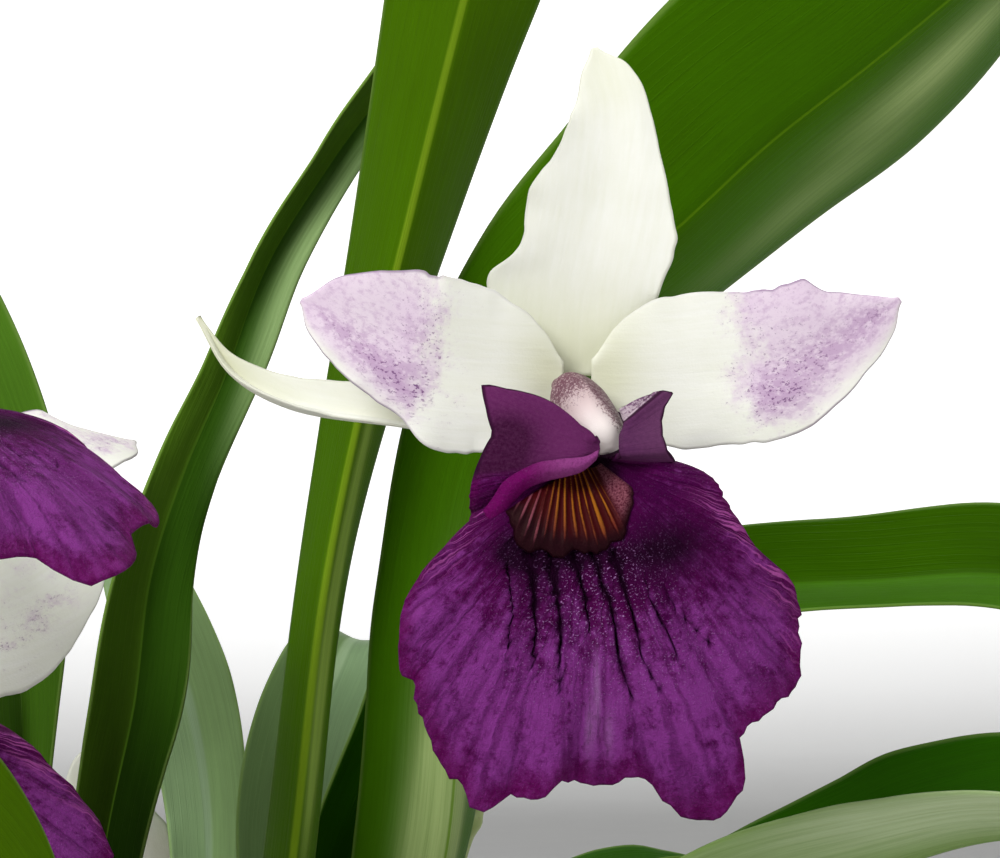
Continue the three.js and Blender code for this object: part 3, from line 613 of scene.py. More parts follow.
def bladeGrid(spec, rows, columns):
    # the middle surface of a folded and waved blade
    look = leafLook
    t = np.linspace(0, 1, rows)
    v = np.linspace(-1, 1, columns)[None, :]
    spine, tangent, length = evenly(spec["spine"], rows)
    up = facing(spec["face"], t)
    up = unit(up - np.sum(up * tangent, 1, keepdims=True) * tangent)
    side = np.cross(tangent, up)
    width = np.maximum(along(spec["half"], t), look["tip"])[:, None] * (1 + spec["farther"] * (v < 0))
    fold = np.radians(along(spec["fold"], t))[:, None]
    crease = look["crease"]
    rise = (np.sqrt(v ** 2 + crease ** 2) - crease) / (math.sqrt(1 + crease ** 2) - crease)
    ease = np.sin(math.pi * t)[:, None]
    turn = 2 * math.pi * spec["waves"] * t[:, None] + np.where(v > 0, 2, 0)
    lift = spec["wave"] * v ** 2 * ease * np.sin(turn)
    lift = lift - look["bulge"] * width * 4 * np.abs(v) * (1 - np.abs(v)) * ease
    grid = spine[:, None] + side[:, None] * (v * width * np.cos(fold))[..., None]
    grid = grid + up[:, None] * (rise * width * np.sin(fold) + lift)[..., None]
    return grid, v, t[:, None], width, length, up[:, None]


def leafMaterial(name, spec):
    minus, plus, rib = (tint(*spec[key]) for key in ("minus", "plus", "rib"))

    def build(start):
        v = field(start, "share").parts()[0]
        across, run, seed = field(start, "lay").parts()
        glow, dark = amount(start, "glow"), amount(start, "dark")
        upper = amount(start, "upper")
        strands = (across * 2.4).joined(run * 0.035, seed).noise(1.0, 3.0, 0.6)
        fine = (across * 7.0).joined(run * 0.12, seed).noise(1.0, 2.0, 0.5)
        cloud = (across * 0.12).joined(run * 0.045, seed).noise(1.0, 3.0, 0.55)
        veins = across * 0.42 + 0.25 * cloud
        lines = abs(veins.sum("PINGPONG", veins, 0.5) - 0.25)
        vein = 1 - lines.step(0.005, 0.03)
        # the two halves' colours carry painted light and shade: the half that faces the light is lighter
        base = v.step(-0.03, 0.03).between(minus, plus)
        # tone that varies along the strands and in clouds, darkened by painted shade where the dark patches
        # lie
        light = (0.4 + 0.34 * strands + 0.4 * cloud + 0.16 * fine + 0.05 * vein) * (1 - 0.6 * dark)
        base = base.lit(light)
        # glow patches: painted sheen, lighter glossy streaks where light catches the blade
        base = (glow * (0.35 + 0.9 * strands)).clamped().between(base, tint(*spec["glowColour"]))
        width = spec["ribWidth"]
        middle = 1 - abs(across).step(width * 0.4, width)
        base = (middle * (0.55 + 0.4 * cloud)).between(base, rib)
        edge = abs(v).step(0.955, 0.995)
        base = (edge * 0.35).between(base, tint(*leafLook["edgeLine"]))
        base = ((1 - upper) * 0.12).between(base, tint(*leafLook["under"]))
        return {
            "Base Color": base,
            "Roughness": 0.36 + 0.16 * strands + 0.1 * glow,
            "bump": (strands * 0.6 + fine * 0.3 + vein * 0.25 + cloud * 0.4, 0.5, 0.25),
        }

    plain = {"Specular IOR Level": leafLook["gloss"], "Specular Tint": leafLook["glossTint"]}
    return makeMaterial(name, build, plain)


def makeLeaf(number, name, spec):
    look = leafLook
    low = "low" in spec
    spec = {**anyLeaf, **(lowLeaf if low else {}), **spec}
    rows = int(look["lowRows" if low else "rows"] * detail)
    columns = int(look["lowColumns" if low else "columns"] * detail) | 1
    grid, v, t, width, length, up = bladeGrid(spec, rows, columns)
    # small unevenness of the blade and a notch or two at the margin
    ease = np.sin(math.pi * np.clip(t * 1.02, 0, 1))
    uneven = look["uneven"] * wander(v * 1.6, t * 9, number)
    uneven = uneven + look["notched"] * v ** 2 * wander(v * 2, t * 24, number + 20)
    grid = grid + up * (uneven * ease)[..., None]
    body = look["edge"] + (look["thick"] - look["edge"]) * (1 - np.abs(v) ** 3)
    body = body + look["ridge"] * np.exp(-(v * width / look["ridgeWidth"]) ** 2)
    fields = {
        "share": (v, t, 0), "lay": (v * width, t * length, number * 3.7),
        "glow": (spots(v, t, spec["glow"]),), "dark": (spots(v, t, spec["dark"]),),
    }
    material = leafMaterial(name + "Green", spec)
    meshPiece(name + "_blade", skin(grid, body, fields, up), name, material)


for number, (leafName, leafSpec) in enumerate(leaves.items()):
    makeLeaf(number, leafName, leafSpec)
print("leaves ready")


# blooms

# throat, turn about X, Y and Z in degrees, spread of the lateral sepals, and detail of each bloom
blooms = {
    "bloom_a": {
        "throat": (47.2, -75, 201.8), "turn": (0, 0, 0), "spread": 1, "fine": 1.0, "seed": 1, "freckled": 1.0,
        "stalk": [[17, 12, 90], [24, 11, 120], [29.8, 8.5, 145], [36.5, 5, 163], [42, -12, 183]],
    },
    "bloom_b": {
        "throat": (-39, -84, 203), "turn": (-63, 14, 37), "spread": 0.55, "fine": 0.6, "seed": 2,
        "freckled": 0.35,
        "stalk": [[-37, -14, 90], [-46, -20, 112], [-74, -38, 136], [-84, -62, 160], [-70, -80, 182]],
    },
    "bloom_c": {
        "throat": (-47.5, -48, 166), "turn": (-24, -11, 14), "spread": 0.55, "fine": 0.6, "seed": 3,
        "freckled": 0.2, "stalk": [[-26, -24, 90], [-36, -25, 120]],
    },
    "bloom_d": {
        "throat": (-22, 84, 119), "turn": (-35, 0, 180), "spread": 1, "fine": 0.5, "seed": 4, "freckled": 0.5,
        "stalk": [[-20, 38, 90], [-20, 41, 100], [-20.2, 48.5, 108.3]],
    },
}


def bloomTurn(spec):
    # turned about Y, then X, then Z, and moved to the throat
    x, y, z = (math.radians(value) for value in spec["turn"])
    aboutX = np.array([[1, 0, 0], [0, math.cos(x), -math.sin(x)], [0, math.sin(x), math.cos(x)]])
    aboutY = np.array([[math.cos(y), 0, math.sin(y)], [0, 1, 0], [-math.sin(y), 0, math.cos(y)]])
    aboutZ = np.array([[math.cos(z), -math.sin(z), 0], [math.sin(z), math.cos(z), 0], [0, 0, 1]])
    return aboutZ @ aboutX @ aboutY


def toBloom(shape, spec):
    points, quads, triangles, fields = shape
    return points @ bloomTurn(spec).T + np.array(spec["throat"], float), quads, triangles, fields


# plus and minus are the half widths on the two sides of the spine; freckles, warm, white and dense are
# patches of (across, along, width, length, strength)
front = [0, -1, 0]
tepals = {
    "dorsal_sepal": {
        "spine": [[-1.6, 7.8, 10], [-1, 7.3, 19], [0.4, 5.8, 27], [1.9, 4.7, 36], [2.4, 4.5, 43.5],
                  [0.6, 5.5, 51]],
        "face": [front, front], "fold": [4, 4], "cup": 0.1,
        "plus": [1.8, 6, 8.6, 9.6, 9.4, 9.6, 10.3, 10.4, 9.4, 8.3, 7.2, 6.1, 5.2, 4.5, 3.2, 0.5],
        "minus": [1.8, 5.8, 8.8, 11.2, 12, 9.4, 8.7, 8.9, 8.8, 7.7, 6.2, 5.4, 4.7, 3.6, 2.4, 0.4],
        "kind": "sepal", "warm": [(0, 0.08, 1.4, 0.16, 0.7), (0, 1, 1.4, 0.2, 0.45)],
    },
    "petal_left": {
        "spine": [[-3.3, 5.2, 10.4], [-8, 4.6, 10.6], [-13.4, 3.9, 10.9], [-22, 3, 12], [-30, 3.4, 15.8],
                  [-36.1, 4.5, 19.3]],
        "face": [front, front], "fold": [4, 4], "cup": 0.08,
        "plus": [1.3, 4.6, 6.9, 8.4, 9.6, 10.2, 10.7, 10.9, 10.8, 10.6, 10.5, 9.3, 8, 6.5, 4.4, 0.4],
        "minus": [1.3, 7, 8.7, 9.7, 10.6, 10.9, 10.9, 10.2, 7.5, 6.7, 6.1, 5.5, 4.8, 3.8, 2.6, 0.4],
        "kind": "petal", "warm": [(0, 0.04, 1.2, 0.12, 0.8)],
        "freckles": [(0.2, 0.72, 1.1, 0.26, 1.0), (0, 0.98, 1.4, 0.2, 1.0), (-0.7, 0.62, 0.4, 0.1, 0.6)],
        "white": [(-0.95, 0.78, 0.22, 0.25, 1.0), (1, 0.6, 0.2, 0.1, 0.6)],
        "dense": [(-0.5, 0.52, 0.3, 0.1, 1), (-0.35, 0.68, 0.25, 0.12, 0.9), (-0.1, 0.84, 0.25, 0.1, 0.7),
                  (0.3, 0.5, 0.4, 0.1, 0.5)],
    },
    "petal_right": {
        "spine": [[0.3, 5.2, 10.4], [8, 4.2, 10.3], [18.7, 3.2, 11.2], [26, 3, 12.4], [32.3, 3.4, 14.6],
                  [38.9, 4.6, 19.4]],
        "face": [front, front], "fold": [4, 4], "cup": -0.06,
        "plus": [1.3, 6, 8.2, 9.1, 9.8, 9.9, 9.8, 9.9, 10, 9.4, 8.1, 6.6, 4.9, 3.8, 2.5, 0.4],
        "minus": [1.6, 5.6, 7.8, 9.1, 9.4, 9.6, 9.4, 9.1, 9, 8.8, 9.1, 8.9, 6.7, 5.2, 2.8, 0.4],
        "kind": "petal", "warm": [(0, 0.04, 1.2, 0.12, 0.8)], "white": [(1, 0.8, 0.35, 0.26, 1.0)],
        "freckles": [(-0.1, 0.82, 1.1, 0.26, 1.0), (0.35, 0.6, 0.4, 0.14, 0.9), (-0.8, 0.6, 0.5, 0.14, 0.8),
                     (0, 1, 1.4, 0.16, 1.0)],
        "dense": [(0.45, 0.56, 0.3, 0.1, 1), (0.1, 0.72, 0.3, 0.12, 0.8), (-0.1, 0.9, 0.4, 0.1, 0.8)],
    },
    "lateral_sepal_left": {
        "spine": [[-3, 7.8, 6], [-14, 11, 3.6], [-26, 14, 4.4], [-38, 17, 6.4], [-45.5, 19, 10.6],
                  [-50, 20, 17.6]],
        "face": [[0, -0.7, 0.7], [0.2, -0.7, 0.7]], "fold": [30, 50, 50],
        "plus": [2, 4.4, 4.8, 3.4, 0.3], "minus": [2, 4.4, 4.8, 3.4, 0.3],
        "kind": "sepal", "warm": [(0, 0.95, 1.5, 0.2, 1.0), (0, 0.35, 1, 0.2, 0.4)],
    },
    "lateral_sepal_right": {
        "spine": [[0.1, 7.8, 5.9], [10, 12, 4.6], [20, 17, 6], [30, 22, 8], [38, 26, 13]],
        "face": [[0, -0.7, 0.7], [-0.2, -0.7, 0.7]], "fold": [30, 50, 50],
        "plus": [2, 4.6, 5.2, 4, 0.4], "minus": [2, 4.6, 5.2, 4, 0.4],
        "kind": "sepal", "warm": [(0, 0.95, 1.5, 0.2, 1.0)],
    },
}
tepalLook = {
    "rows": 104, "columns": 47, "thick": 0.8, "edge": 0.25, "tip": 0.4, "crease": 0.06, "uneven": 0.35,
    "crumple": 0.4, "ragged": 0.012, "sepalEdge": (176, 176, 150),
    "white": (246, 246, 243), "shade": (226, 227, 208), "green": (204, 206, 160), "lilac": (218, 196, 217),
    "blotch": (180, 144, 182), "freckle": (118, 74, 124), "edgeLine": (98, 58, 108),
}


def tepalMaterial(kind):
    look = tepalLook
    sepal = kind == "sepal"

    def build(start):
        v, t, _ = field(start, "share").parts()
        across, run, seed = field(start, "lay").parts()
        freckled, warm, white, dense = (amount(start, key) for key in ("freckled", "warm", "white", "dense"))
        place = across.joined(run, seed)
        fibre = (across * 1.3).joined(run * 0.12, seed).noise(1.0, 3.0, 0.6)
        cloud = place.noise(0.16, 3.0, 0.5)
        crystal = place.noise(3.2, 2.0, 0.6)
        cells = (across * 3.0).joined(run * 2.0, seed).noise(1.0, 3.0, 0.7)
        blots = (across * 1.4).joined(run * 0.8, seed).noise(1.0, 4.0, 0.7)
        clumps = place.noise(0.42, 4.0, 0.62)
        shaded = (0.25 + 0.5 * cloud + 0.5 * (fibre - 0.5)).clamped()
        base = shaded.between(tint(*look["white"]), tint(*look["shade"]))
        base = (warm * 0.75).between(base, tint(*look["green"]))
        if not sepal:
            # a lilac outer half with soft blotches, and dark dashes that scatter along its inner edge
            bare = 1 - 0.85 * white
            spread = (freckled + 1.1 * (clumps - 0.5)).step(0.1, 0.75) * freckled.step(0.0, 0.25) * bare
            base = (spread * (0.6 + 0.5 * cloud)).clamped().between(base, tint(*look["lilac"]))
            soft = (blots + 0.2 * dense).step(0.44, 0.7) * spread
            base = (soft * (0.5 + 0.3 * dense)).clamped().between(base, tint(*look["blotch"]))
            inner = (1 - t.step(0.55, 0.8)) * 0.6 + 0.25 + 0.5 * dense
            scatter = (freckled + 1.3 * (clumps - 0.5)).step(0.05, 0.5) * freckled.step(0.01, 0.15) * bare
            dots = (cells - 0.6 + 0.06 * dense).step(0.0, 0.08) * scatter * inner
            base = (dots * 0.75).clamped().between(base, tint(*look["freckle"]))
        rim = abs(v).step(0.95, 0.99)
        if sepal:
            base = (rim * 0.3).between(base, tint(*look["sepalEdge"]))
        else:
            outer = t.step(0.42, 0.6) * freckled.step(0.05, 0.3)
            base = (rim * (0.15 + 0.45 * outer)).between(base, tint(*look["edgeLine"]))
        return {
            "Base Color": base,
            "Roughness": 0.48 + 0.2 * fibre,
            "bump": (0.7 * fibre + 0.35 * crystal + 0.25 * cloud, 0.35, 0.2),
        }

    plain = {"Specular IOR Level": 0.35, "Sheen Weight": 0.12, "Sheen Roughness": 0.4}
    return makeMaterial(kind + "White", build, plain)


def makeTepals(bloom, spec, materials):
    look = tepalLook
    for number, (part, tepal) in enumerate(tepals.items()):
        rows, columns = int(look["rows"] * spec["fine"] * detail), int(look["columns"] * spec["fine"]) | 1
        spine = np.array(tepal["spine"], float)
        if "lateral" in part:
            spine = spine[0] + spec["spread"] * (spine - spine[0])
        t = np.linspace(0, 1, rows)
        v = np.linspace(-1, 1, columns)[None, :]
        line, tangent, length = evenly(spine, rows)
        up = facing(tepal["face"], t)
        up = unit(up - np.sum(up * tangent, 1, keepdims=True) * tangent)
        side = np.cross(tangent, up)
        seed = spec["seed"] * 10 + number
        plus, minus = (np.maximum(along(tepal[key], t), look["tip"])[:, None] for key in ("plus", "minus"))
        ragged = 1 + look["ragged"] * wander(np.sign(v) * 3, t[:, None] * 30, seed)
        width = np.where(v > 0, plus, minus) * ragged
        fold = np.radians(along(tepal["fold"], t))[:, None]
        rise = np.sqrt(v ** 2 + look["crease"]) - math.sqrt(look["crease"])
        ease = np.sin(math.pi * t)[:, None]
        lift = tepal.get("cup", 0) * v ** 2 * width
        lift = lift + look["uneven"] * ease * wander(v * 1.7, t[:, None] * 4, seed)
        lift = lift + look["crumple"] * ease * v ** 4 * wander(np.sign(v) * 5, t[:, None] * 13, seed + 3)
        grid = line[:, None] + side[:, None] * (v * width * np.cos(fold))[..., None]
        grid = grid + up[:, None] * (rise * width * np.sin(fold) + lift)[..., None]
        body = look["edge"] + (look["thick"] - look["edge"]) * (1 - np.abs(v) ** 4)
        share = t[:, None] + 0 * v
        patches = {key: spots(v, share, tepal.get(key, [])) for key in ("freckles", "warm", "white", "dense")}
        fields = {
            "share": (v, share, 0), "lay": (v * width, share * length, seed * 5.3),
            "freckled": (spec["freckled"] * patches.pop("freckles"),),
            **{key: (patch,) for key, patch in patches.items()},
        }
        shape = toBloom(skin(grid, body, fields, up[:, None]), spec)
        node = bloom + "_" + part
        meshPiece(node + "_blade", shape, node, materials[tepal["kind"]])


# lip: margin of the main flower's as (angle from straight down, distance); the others have a plainer one
lipLook = {
    "throatDepth": 2.5, "depth": 13.5, "rise": 6.5, "recurve": 4, "frill": 1.3, "frills": 9, "collar": 8.2,
    "columns": 284, "rings": 110, "thick": 0.8, "edge": 0.35, "grooveDepth": 0.9,
    "purple": (76, 2, 66), "violet": (122, 48, 126), "deep": (22, 0, 18), "margin": (96, 6, 78),
    "flap": (48, 6, 38), "flapLight": (92, 34, 82), "flapRight": (76, 36, 72), "flapEdgeShade": (36, 6, 28),
    "band": (100, 6, 82), "bandLight": (136, 60, 122), "glint": (176, 128, 186), "pale": (170, 128, 176),
    "wrinkle": (176, 84, 160), "sliver": (196, 178, 188), "shade": (62, 2, 58), "flapInner": (84, 46, 78),
    "flapDust": (130, 76, 118), "sliverDust": (112, 76, 108), "bandDust": (74, 4, 60),
    # angles between which the skirt turns into the lobes, and how far they lean forward as (amount, reach)
    "leftFold": (-76, -62), "rightFold": (78, 94), "skirtEnd": (78, 90), "leftLean": (4.2, 16),
    "rightLean": (3.4, 13), "rounded": 0.9, "behind": 1.4,
    "waves": (0.4, 27), "ruffle": 0.6, "crumple": 0.6, "teeth": (0.25, 0.2),
    "plainGroove": 0.6, "rollRows": 140, "rollColumns": 17, "rollThick": 0.35, "rollLift": 0.25,
    "rollTuck": 0.5,
    # patches of (x, z, width, height, strength), and the wrinkles by (angle, share of the reach)
    # these patches are painted shade: under the callus, in the hollows beside it and in the throat
    "deepAt": [(-9, -11.5, 3.5, 3, 1.0), (-3, -12.2, 7, 1.6, 0.9), (8.5, -11.5, 5, 3.5, 0.75),
               (12, -10, 4, 3, 0.35), (2, -15, 9, 4, 0.35), (0, 0, 5, 4, 0.9), (-7.5, -16, 3, 4, 0.35)],
    "paleAt": [(0.6, -29, 0.35, 4, 0.6), (-0.2, -33.5, 0.4, 3, 0.5), (2.2, -34, 0.5, 2.5, 0.3)],
    # where more of the painted glints of the lip's papillae gather
    "glintedAt": [(-1, -18, 7, 6, 0.9), (3, -15, 5, 4, 0.5), (0, -26, 12, 7, 0.3), (14, -24, 10, 6, 0.2)],
    "shadowAt": [(-11, -0.3, 4.5, 3.5, 1), (-10, 3, 4, 2.5, 0.7), (-13, -4, 3, 3, 0.6)],
    "wrinkledAt": [(62, 0.86, 9, 0.16, 1.0), (-60, 0.8, 8, 0.2, 0.9), (50, 0.95, 6, 0.06, 0.5)],
}
marginFine = [
    (-176, 2.2), (-158, 4), (-149, 6.4), (-141, 8.9), (-134, 11.1), (-128, 13.3), (-125, 15.1),
    (-122.5, 16), (-114, 14.2), (-104, 12.6), (-100, 12.5), (-88, 13.7), (-77, 15.1), (-71, 15.8),
    (-63, 16.5), (-61, 17), (-59.5, 19), (-57.4, 21.8), (-55.5, 25), (-53.7, 26.7), (-52, 28.9),
    (-49, 30.8), (-46, 32.9), (-43.5, 34.2), (-41, 35.5), (-38, 35.4), (-35.3, 37.3), (-31, 39.1),
    (-28.4, 41.1), (-26, 42.5), (-23.7, 43.3), (-20.6, 43.4), (-19.9, 45.2), (-19, 45.7), (-17, 45.8),
    (-15.3, 44.6), (-13.5, 43), (-9.5, 42.8), (-7.4, 41.9), (-6.2, 40.5), (-3.4, 39.9), (0.4, 40.9),
    (3.2, 40.6), (5.7, 40), (9, 40.2), (10.5, 40.9), (11, 42.6), (12.6, 44.1), (13.5, 45.6), (15.7, 46.7),
    (18.4, 47.3), (20.7, 47), (22.3, 46), (24.9, 44.7), (26.4, 42.6), (27, 39.6), (28.6, 38.9), (33, 38.4),
    (36.7, 37.8), (39.3, 38.2), (41.2, 38.1), (43.5, 37.5), (45.9, 35.7), (48.3, 34.8), (49.6, 33.2),
    (52.3, 32.4), (55.8, 30.8), (58.2, 28.9), (58.9, 26), (60.4, 23.4), (63, 21.6), (65, 20), (67.6, 18.8),
    (72, 17.2), (77.3, 15.8), (81, 14.2), (83, 12.3), (85, 10.6), (93, 9.4), (105, 9.1), (116, 9.7),
    (123, 10.9), (127, 12.8), (131, 12), (136, 10.3), (141, 8.7), (146, 7),
]
marginPlain = [
    (-168, 2), (-156, 4.8), (-142, 8.2), (-132, 11.8), (-123, 15.9), (-113, 13.8), (-102, 12.6), (-90, 13.2),
    (-76, 15.2), (-65, 16.2), (-58, 20.9), (-52, 28.5), (-45, 33.4), (-39, 35.8), (-32, 39.4), (-24, 43),
    (-17, 46.4), (-10, 43.4), (-3, 40.4), (4, 41), (10, 40.8), (15, 46.8), (20, 47.6), (25, 45), (30, 40),
    (38, 38.8), (46, 37), (53, 32.7), (60, 24.6), (69, 18.9), (80, 13.6), (94, 9.2), (110, 9.2), (126, 12.8),
    (136, 8),
]
# where the sheet ends at the throat, as (angle, x, z); the left lobe has a rounded end that stands over it
throatEdge = [
    (-176, 0.5, 2), (-150, 0.9, 1.4), (-125, 1, 0.7), (-100, 0.85, 0), (-84, 0.45, -0.45),
    (-72, -0.4, -0.6), (-62, -0.88, -0.47), (-40, -0.64, -0.77), (0, 0, -1), (40, 0.64, -0.77),
    (72, 0.95, -0.31), (80, 2.6, -0.45), (90, 3.6, 0), (103, 3.5, 0.8), (122, 3.56, 2.2), (131, 4.2, 3.7),
    (146, 3.9, 5.8),
]
# the left lobe's lower margin is rolled over: lines through the upper and the lower edge of the roll
rollUpper = [[0.9, 0.5], [-0.5, -0.2], [-3.9, -0.6], [-6.5, -1], [-8.7, -2], [-10.7, -3.3], [-11.9, -5.1],
             [-13.2, -6.8]]
rollLower = [[0.5, -0.5], [-1.2, -1.9], [-3.4, -2.6], [-5.6, -3.1], [-7.8, -4], [-9.4, -5.5], [-10.6, -7.2],
             [-12.2, -8.6]]
# grooves below the callus, each a line of (x, z, half width); their dark colour is painted shade in the
# creases
grooves = [
    [(-7.9, -11.5, 0.9), (-7.4, -13, 0.9), (-6.8, -20, 0.55), (-7.2, -27, 0.2)],
    [(-5.3, -11.5, 0.7), (-4.9, -13, 0.8), (-3.7, -20, 0.75), (-4, -29, 0.25)],
    [(-2.4, -12, 0.8), (-2, -13.3, 0.9), (-0.8, -17.2, 0.7), (-0.1, -21.8, 0.15)],
    [(0, -11.8, 0.6), (0.4, -12.7, 0.7), (2.8, -20, 0.65), (3.7, -26.5, 0.6), (5, -30, 0.15)],
    [(2.7, -12, 0.7), (3.1, -13, 0.8), (5.2, -20, 0.5), (6.3, -25, 0.4), (8.5, -29, 0.2)],
    [(6.4, -15.5, 0.15), (7.6, -18.4, 0.3), (9.7, -22.6, 0.3), (12.6, -28.5, 0.15)],
    [(9, -16.5, 0.1), (10.9, -19.3, 0.25), (15.5, -24, 0.15)],
    [(-10.3, -14, 0.3), (-9.6, -19, 0.3), (-10.4, -25, 0.15)],
]


def lipDepth(angle, r, share):
    # how far back the lip's middle surface lies: a domed skirt with a frilled margin, and a collar before it
    look = lipLook
    turn = np.radians(angle)
    skirt = look["throatDepth"] - look["depth"] * (1 - np.exp(-r / look["rise"]))
    skirt = skirt + look["recurve"] * share ** 3 + look["frill"] * share ** 4 * np.sin(look["frills"] * turn)
    (left, leftReach), (right, rightReach) = look["leftLean"], look["rightLean"]
    lean = left * (1 - smooth(-125, -80, angle)) * r / leftReach
    lean = lean + right * smooth(95, 127, angle) * r / rightReach
    inCollar = 1 - smooth(*look["leftFold"], angle) + smooth(*look["rightFold"], angle)
    return skirt + (lean - look["collar"] - skirt) * inCollar, inCollar


def grooveAt(x, z):
    # 1 along the middle of a groove and 0 off it
    total = np.zeros(x.shape)
    for line in grooves:
        line = np.array(line)[::-1]
        middle = np.interp(z, line[:, 1], line[:, 0]) + 0.15 * wander(z * 0.8, line[0, 0], 4)
        width = np.interp(z, line[:, 1], line[:, 2]) * (1 + 0.35 * wander(z * 1.3, line[0, 0], 6))
        inside = smooth(line[0, 1] - 0.8, line[0, 1] + 0.8, z) * (1 - smooth(line[-1, 1], line[-1, 1] + 1, z))
        total = np.maximum(total, np.exp(-((x - middle) / np.maximum(width, 0.1)) ** 4) * inside)
    return total


def lipMaterial():
    look = lipLook

    def build(start):
        angle, share, r = field(start, "share").parts()
        names = ("groove", "deep", "pale", "glinted", "roll", "shadow", "wrinkled")
        groove, deep, pale, glinted, roll, shadow, wrinkled = (amount(start, name) for name in names)
        x, z, seed = field(start, "lay").parts()
        place = x.joined(z, seed)
        warp = place.noise(0.35, 2.0, 0.5) - 0.5
        bent = angle + 2 * warp
        rays = (bent * 0.22).joined(r * 0.02, seed).noise(1.0, 2.0, 0.5)
        fineRays = (bent * 1.1).joined(r * 0.2, seed).noise(1.0, 3.0, 0.6)
        fan = (bent * 0.3).joined(r * 0.2, seed).noise(1.0, 4.0, 0.7)
        cloud = place.noise(0.13, 3.0, 0.55)
        velvet = place.noise(2.2, 3.0, 0.7)
        glitter = place.noise(4.2, 2.0, 0.75)
        blotch = place.noise(0.7, 5.0, 0.75)
        # light patches with dark veins that cross them towards the margin
        vein = (1 - abs(rays - 0.5).step(0.0, 0.09)) * blotch.step(0.3, 0.65)
        low = r.step(12.0, 32.0) * (1 - 0.5 * share.step(0.8, 1.0))
        light = (1.1 * blotch + 1.0 * fan + 0.2 * fineRays + 0.42 * low - 1.16).step(0.0, 0.5)
        light = (light * (1 - 0.55 * vein)).clamped()
        mottled = (0.7 * cloud + 0.6 * blotch).step(0.4, 0.85)
        base = mottled.between(tint(*look["shade"]), tint(*look["purple"]))
        base = light.between(base, tint(*look["violet"]))
        base = (share.step(0.88, 1.0) * 0.55).between(base, tint(*look["margin"]))
        lines = (angle * 1.5 + 6 * warp).joined(r * 0.12, seed).noise(1.0, 2.0, 0.6)
        base = (wrinkled * lines.step(0.5, 0.66)).clamped().between(base, tint(*look["wrinkle"]))
        base = (pale * (0.3 + 0.9 * velvet)).clamped().between(base, tint(*look["pale"]))
        left = 1 - angle.step(-82, -76)
        right = angle.step(80, 90)
        flap = (left + right).clamped()
        shaded = (shadow * (0.9 + 0.5 * cloud)).clamped()
        leftColour = shaded.between(tint(*look["flapLight"]), tint(*look["flap"]))
        rightColour = share.step(0.0, 1.0).between(tint(*look["flapRight"]), tint(*look["flapInner"]))
        cover = right.between(leftColour, rightColour)
        cover = ((velvet - 0.5) * 0.5 + 0.05).clamped().between(cover, tint(*look["flapDust"]))
        base = flap.between(base, cover)
        sliver = angle.step(130.5, 132.5)
        grey = (place.noise(3.0, 3.0, 0.7) + 0.25 * share).step(0.55, 0.75)
        base = sliver.between(base, grey.between(tint(*look["sliver"]), tint(*look["sliverDust"])))
        # painted shade: dark rims along the lobes' rolled edges and along the right lobe's fold
        rim = share.step(0.95, 0.985) + right * (1 - share.step(0.01, 0.06))
        rim = rim + right * (1 - abs(angle - 131).step(0.3, 1.0))
        base = (flap * rim * 0.85).clamped().between(base, tint(*look["flapEdgeShade"]))
        rolled = x.step(-8.5, -2.5).between(tint(*look["band"]), tint(*look["bandLight"]))
        rolled = (velvet.step(0.45, 0.7) * 0.35).between(rolled, tint(*look["bandDust"]))
        base = roll.between(base, rolled)
        # painted shade: dark in the grooves, under the callus, in the hollows beside it and in the throat
        dark = (groove * 0.95 + deep * (0.75 + 0.5 * blotch)).clamped()
        base = dark.between(base, tint(*look["deep"]))
        # light dots: painted glints of the lip's sparkling papillae
        specks = glitter.step(0.58, 0.7) * (0.1 + glinted) * (1 - flap) * (1 - groove)
        base = (specks * 0.85).clamped().between(base, tint(*look["glint"]))
        height = 0.5 * velvet + 0.5 * glitter + 0.7 * fineRays + fan - 0.6 * vein + wrinkled * lines
        height = height * (1 - 0.8 * flap)
        return {"Base Color": base, "Roughness": 0.55 + 0.25 * velvet, "bump": (height, 0.8, 0.6)}

    plain = {"Specular IOR Level": 0.14, "Specular Tint": tint(220, 130, 226)}
    return makeMaterial("lipVelvet", build, plain)


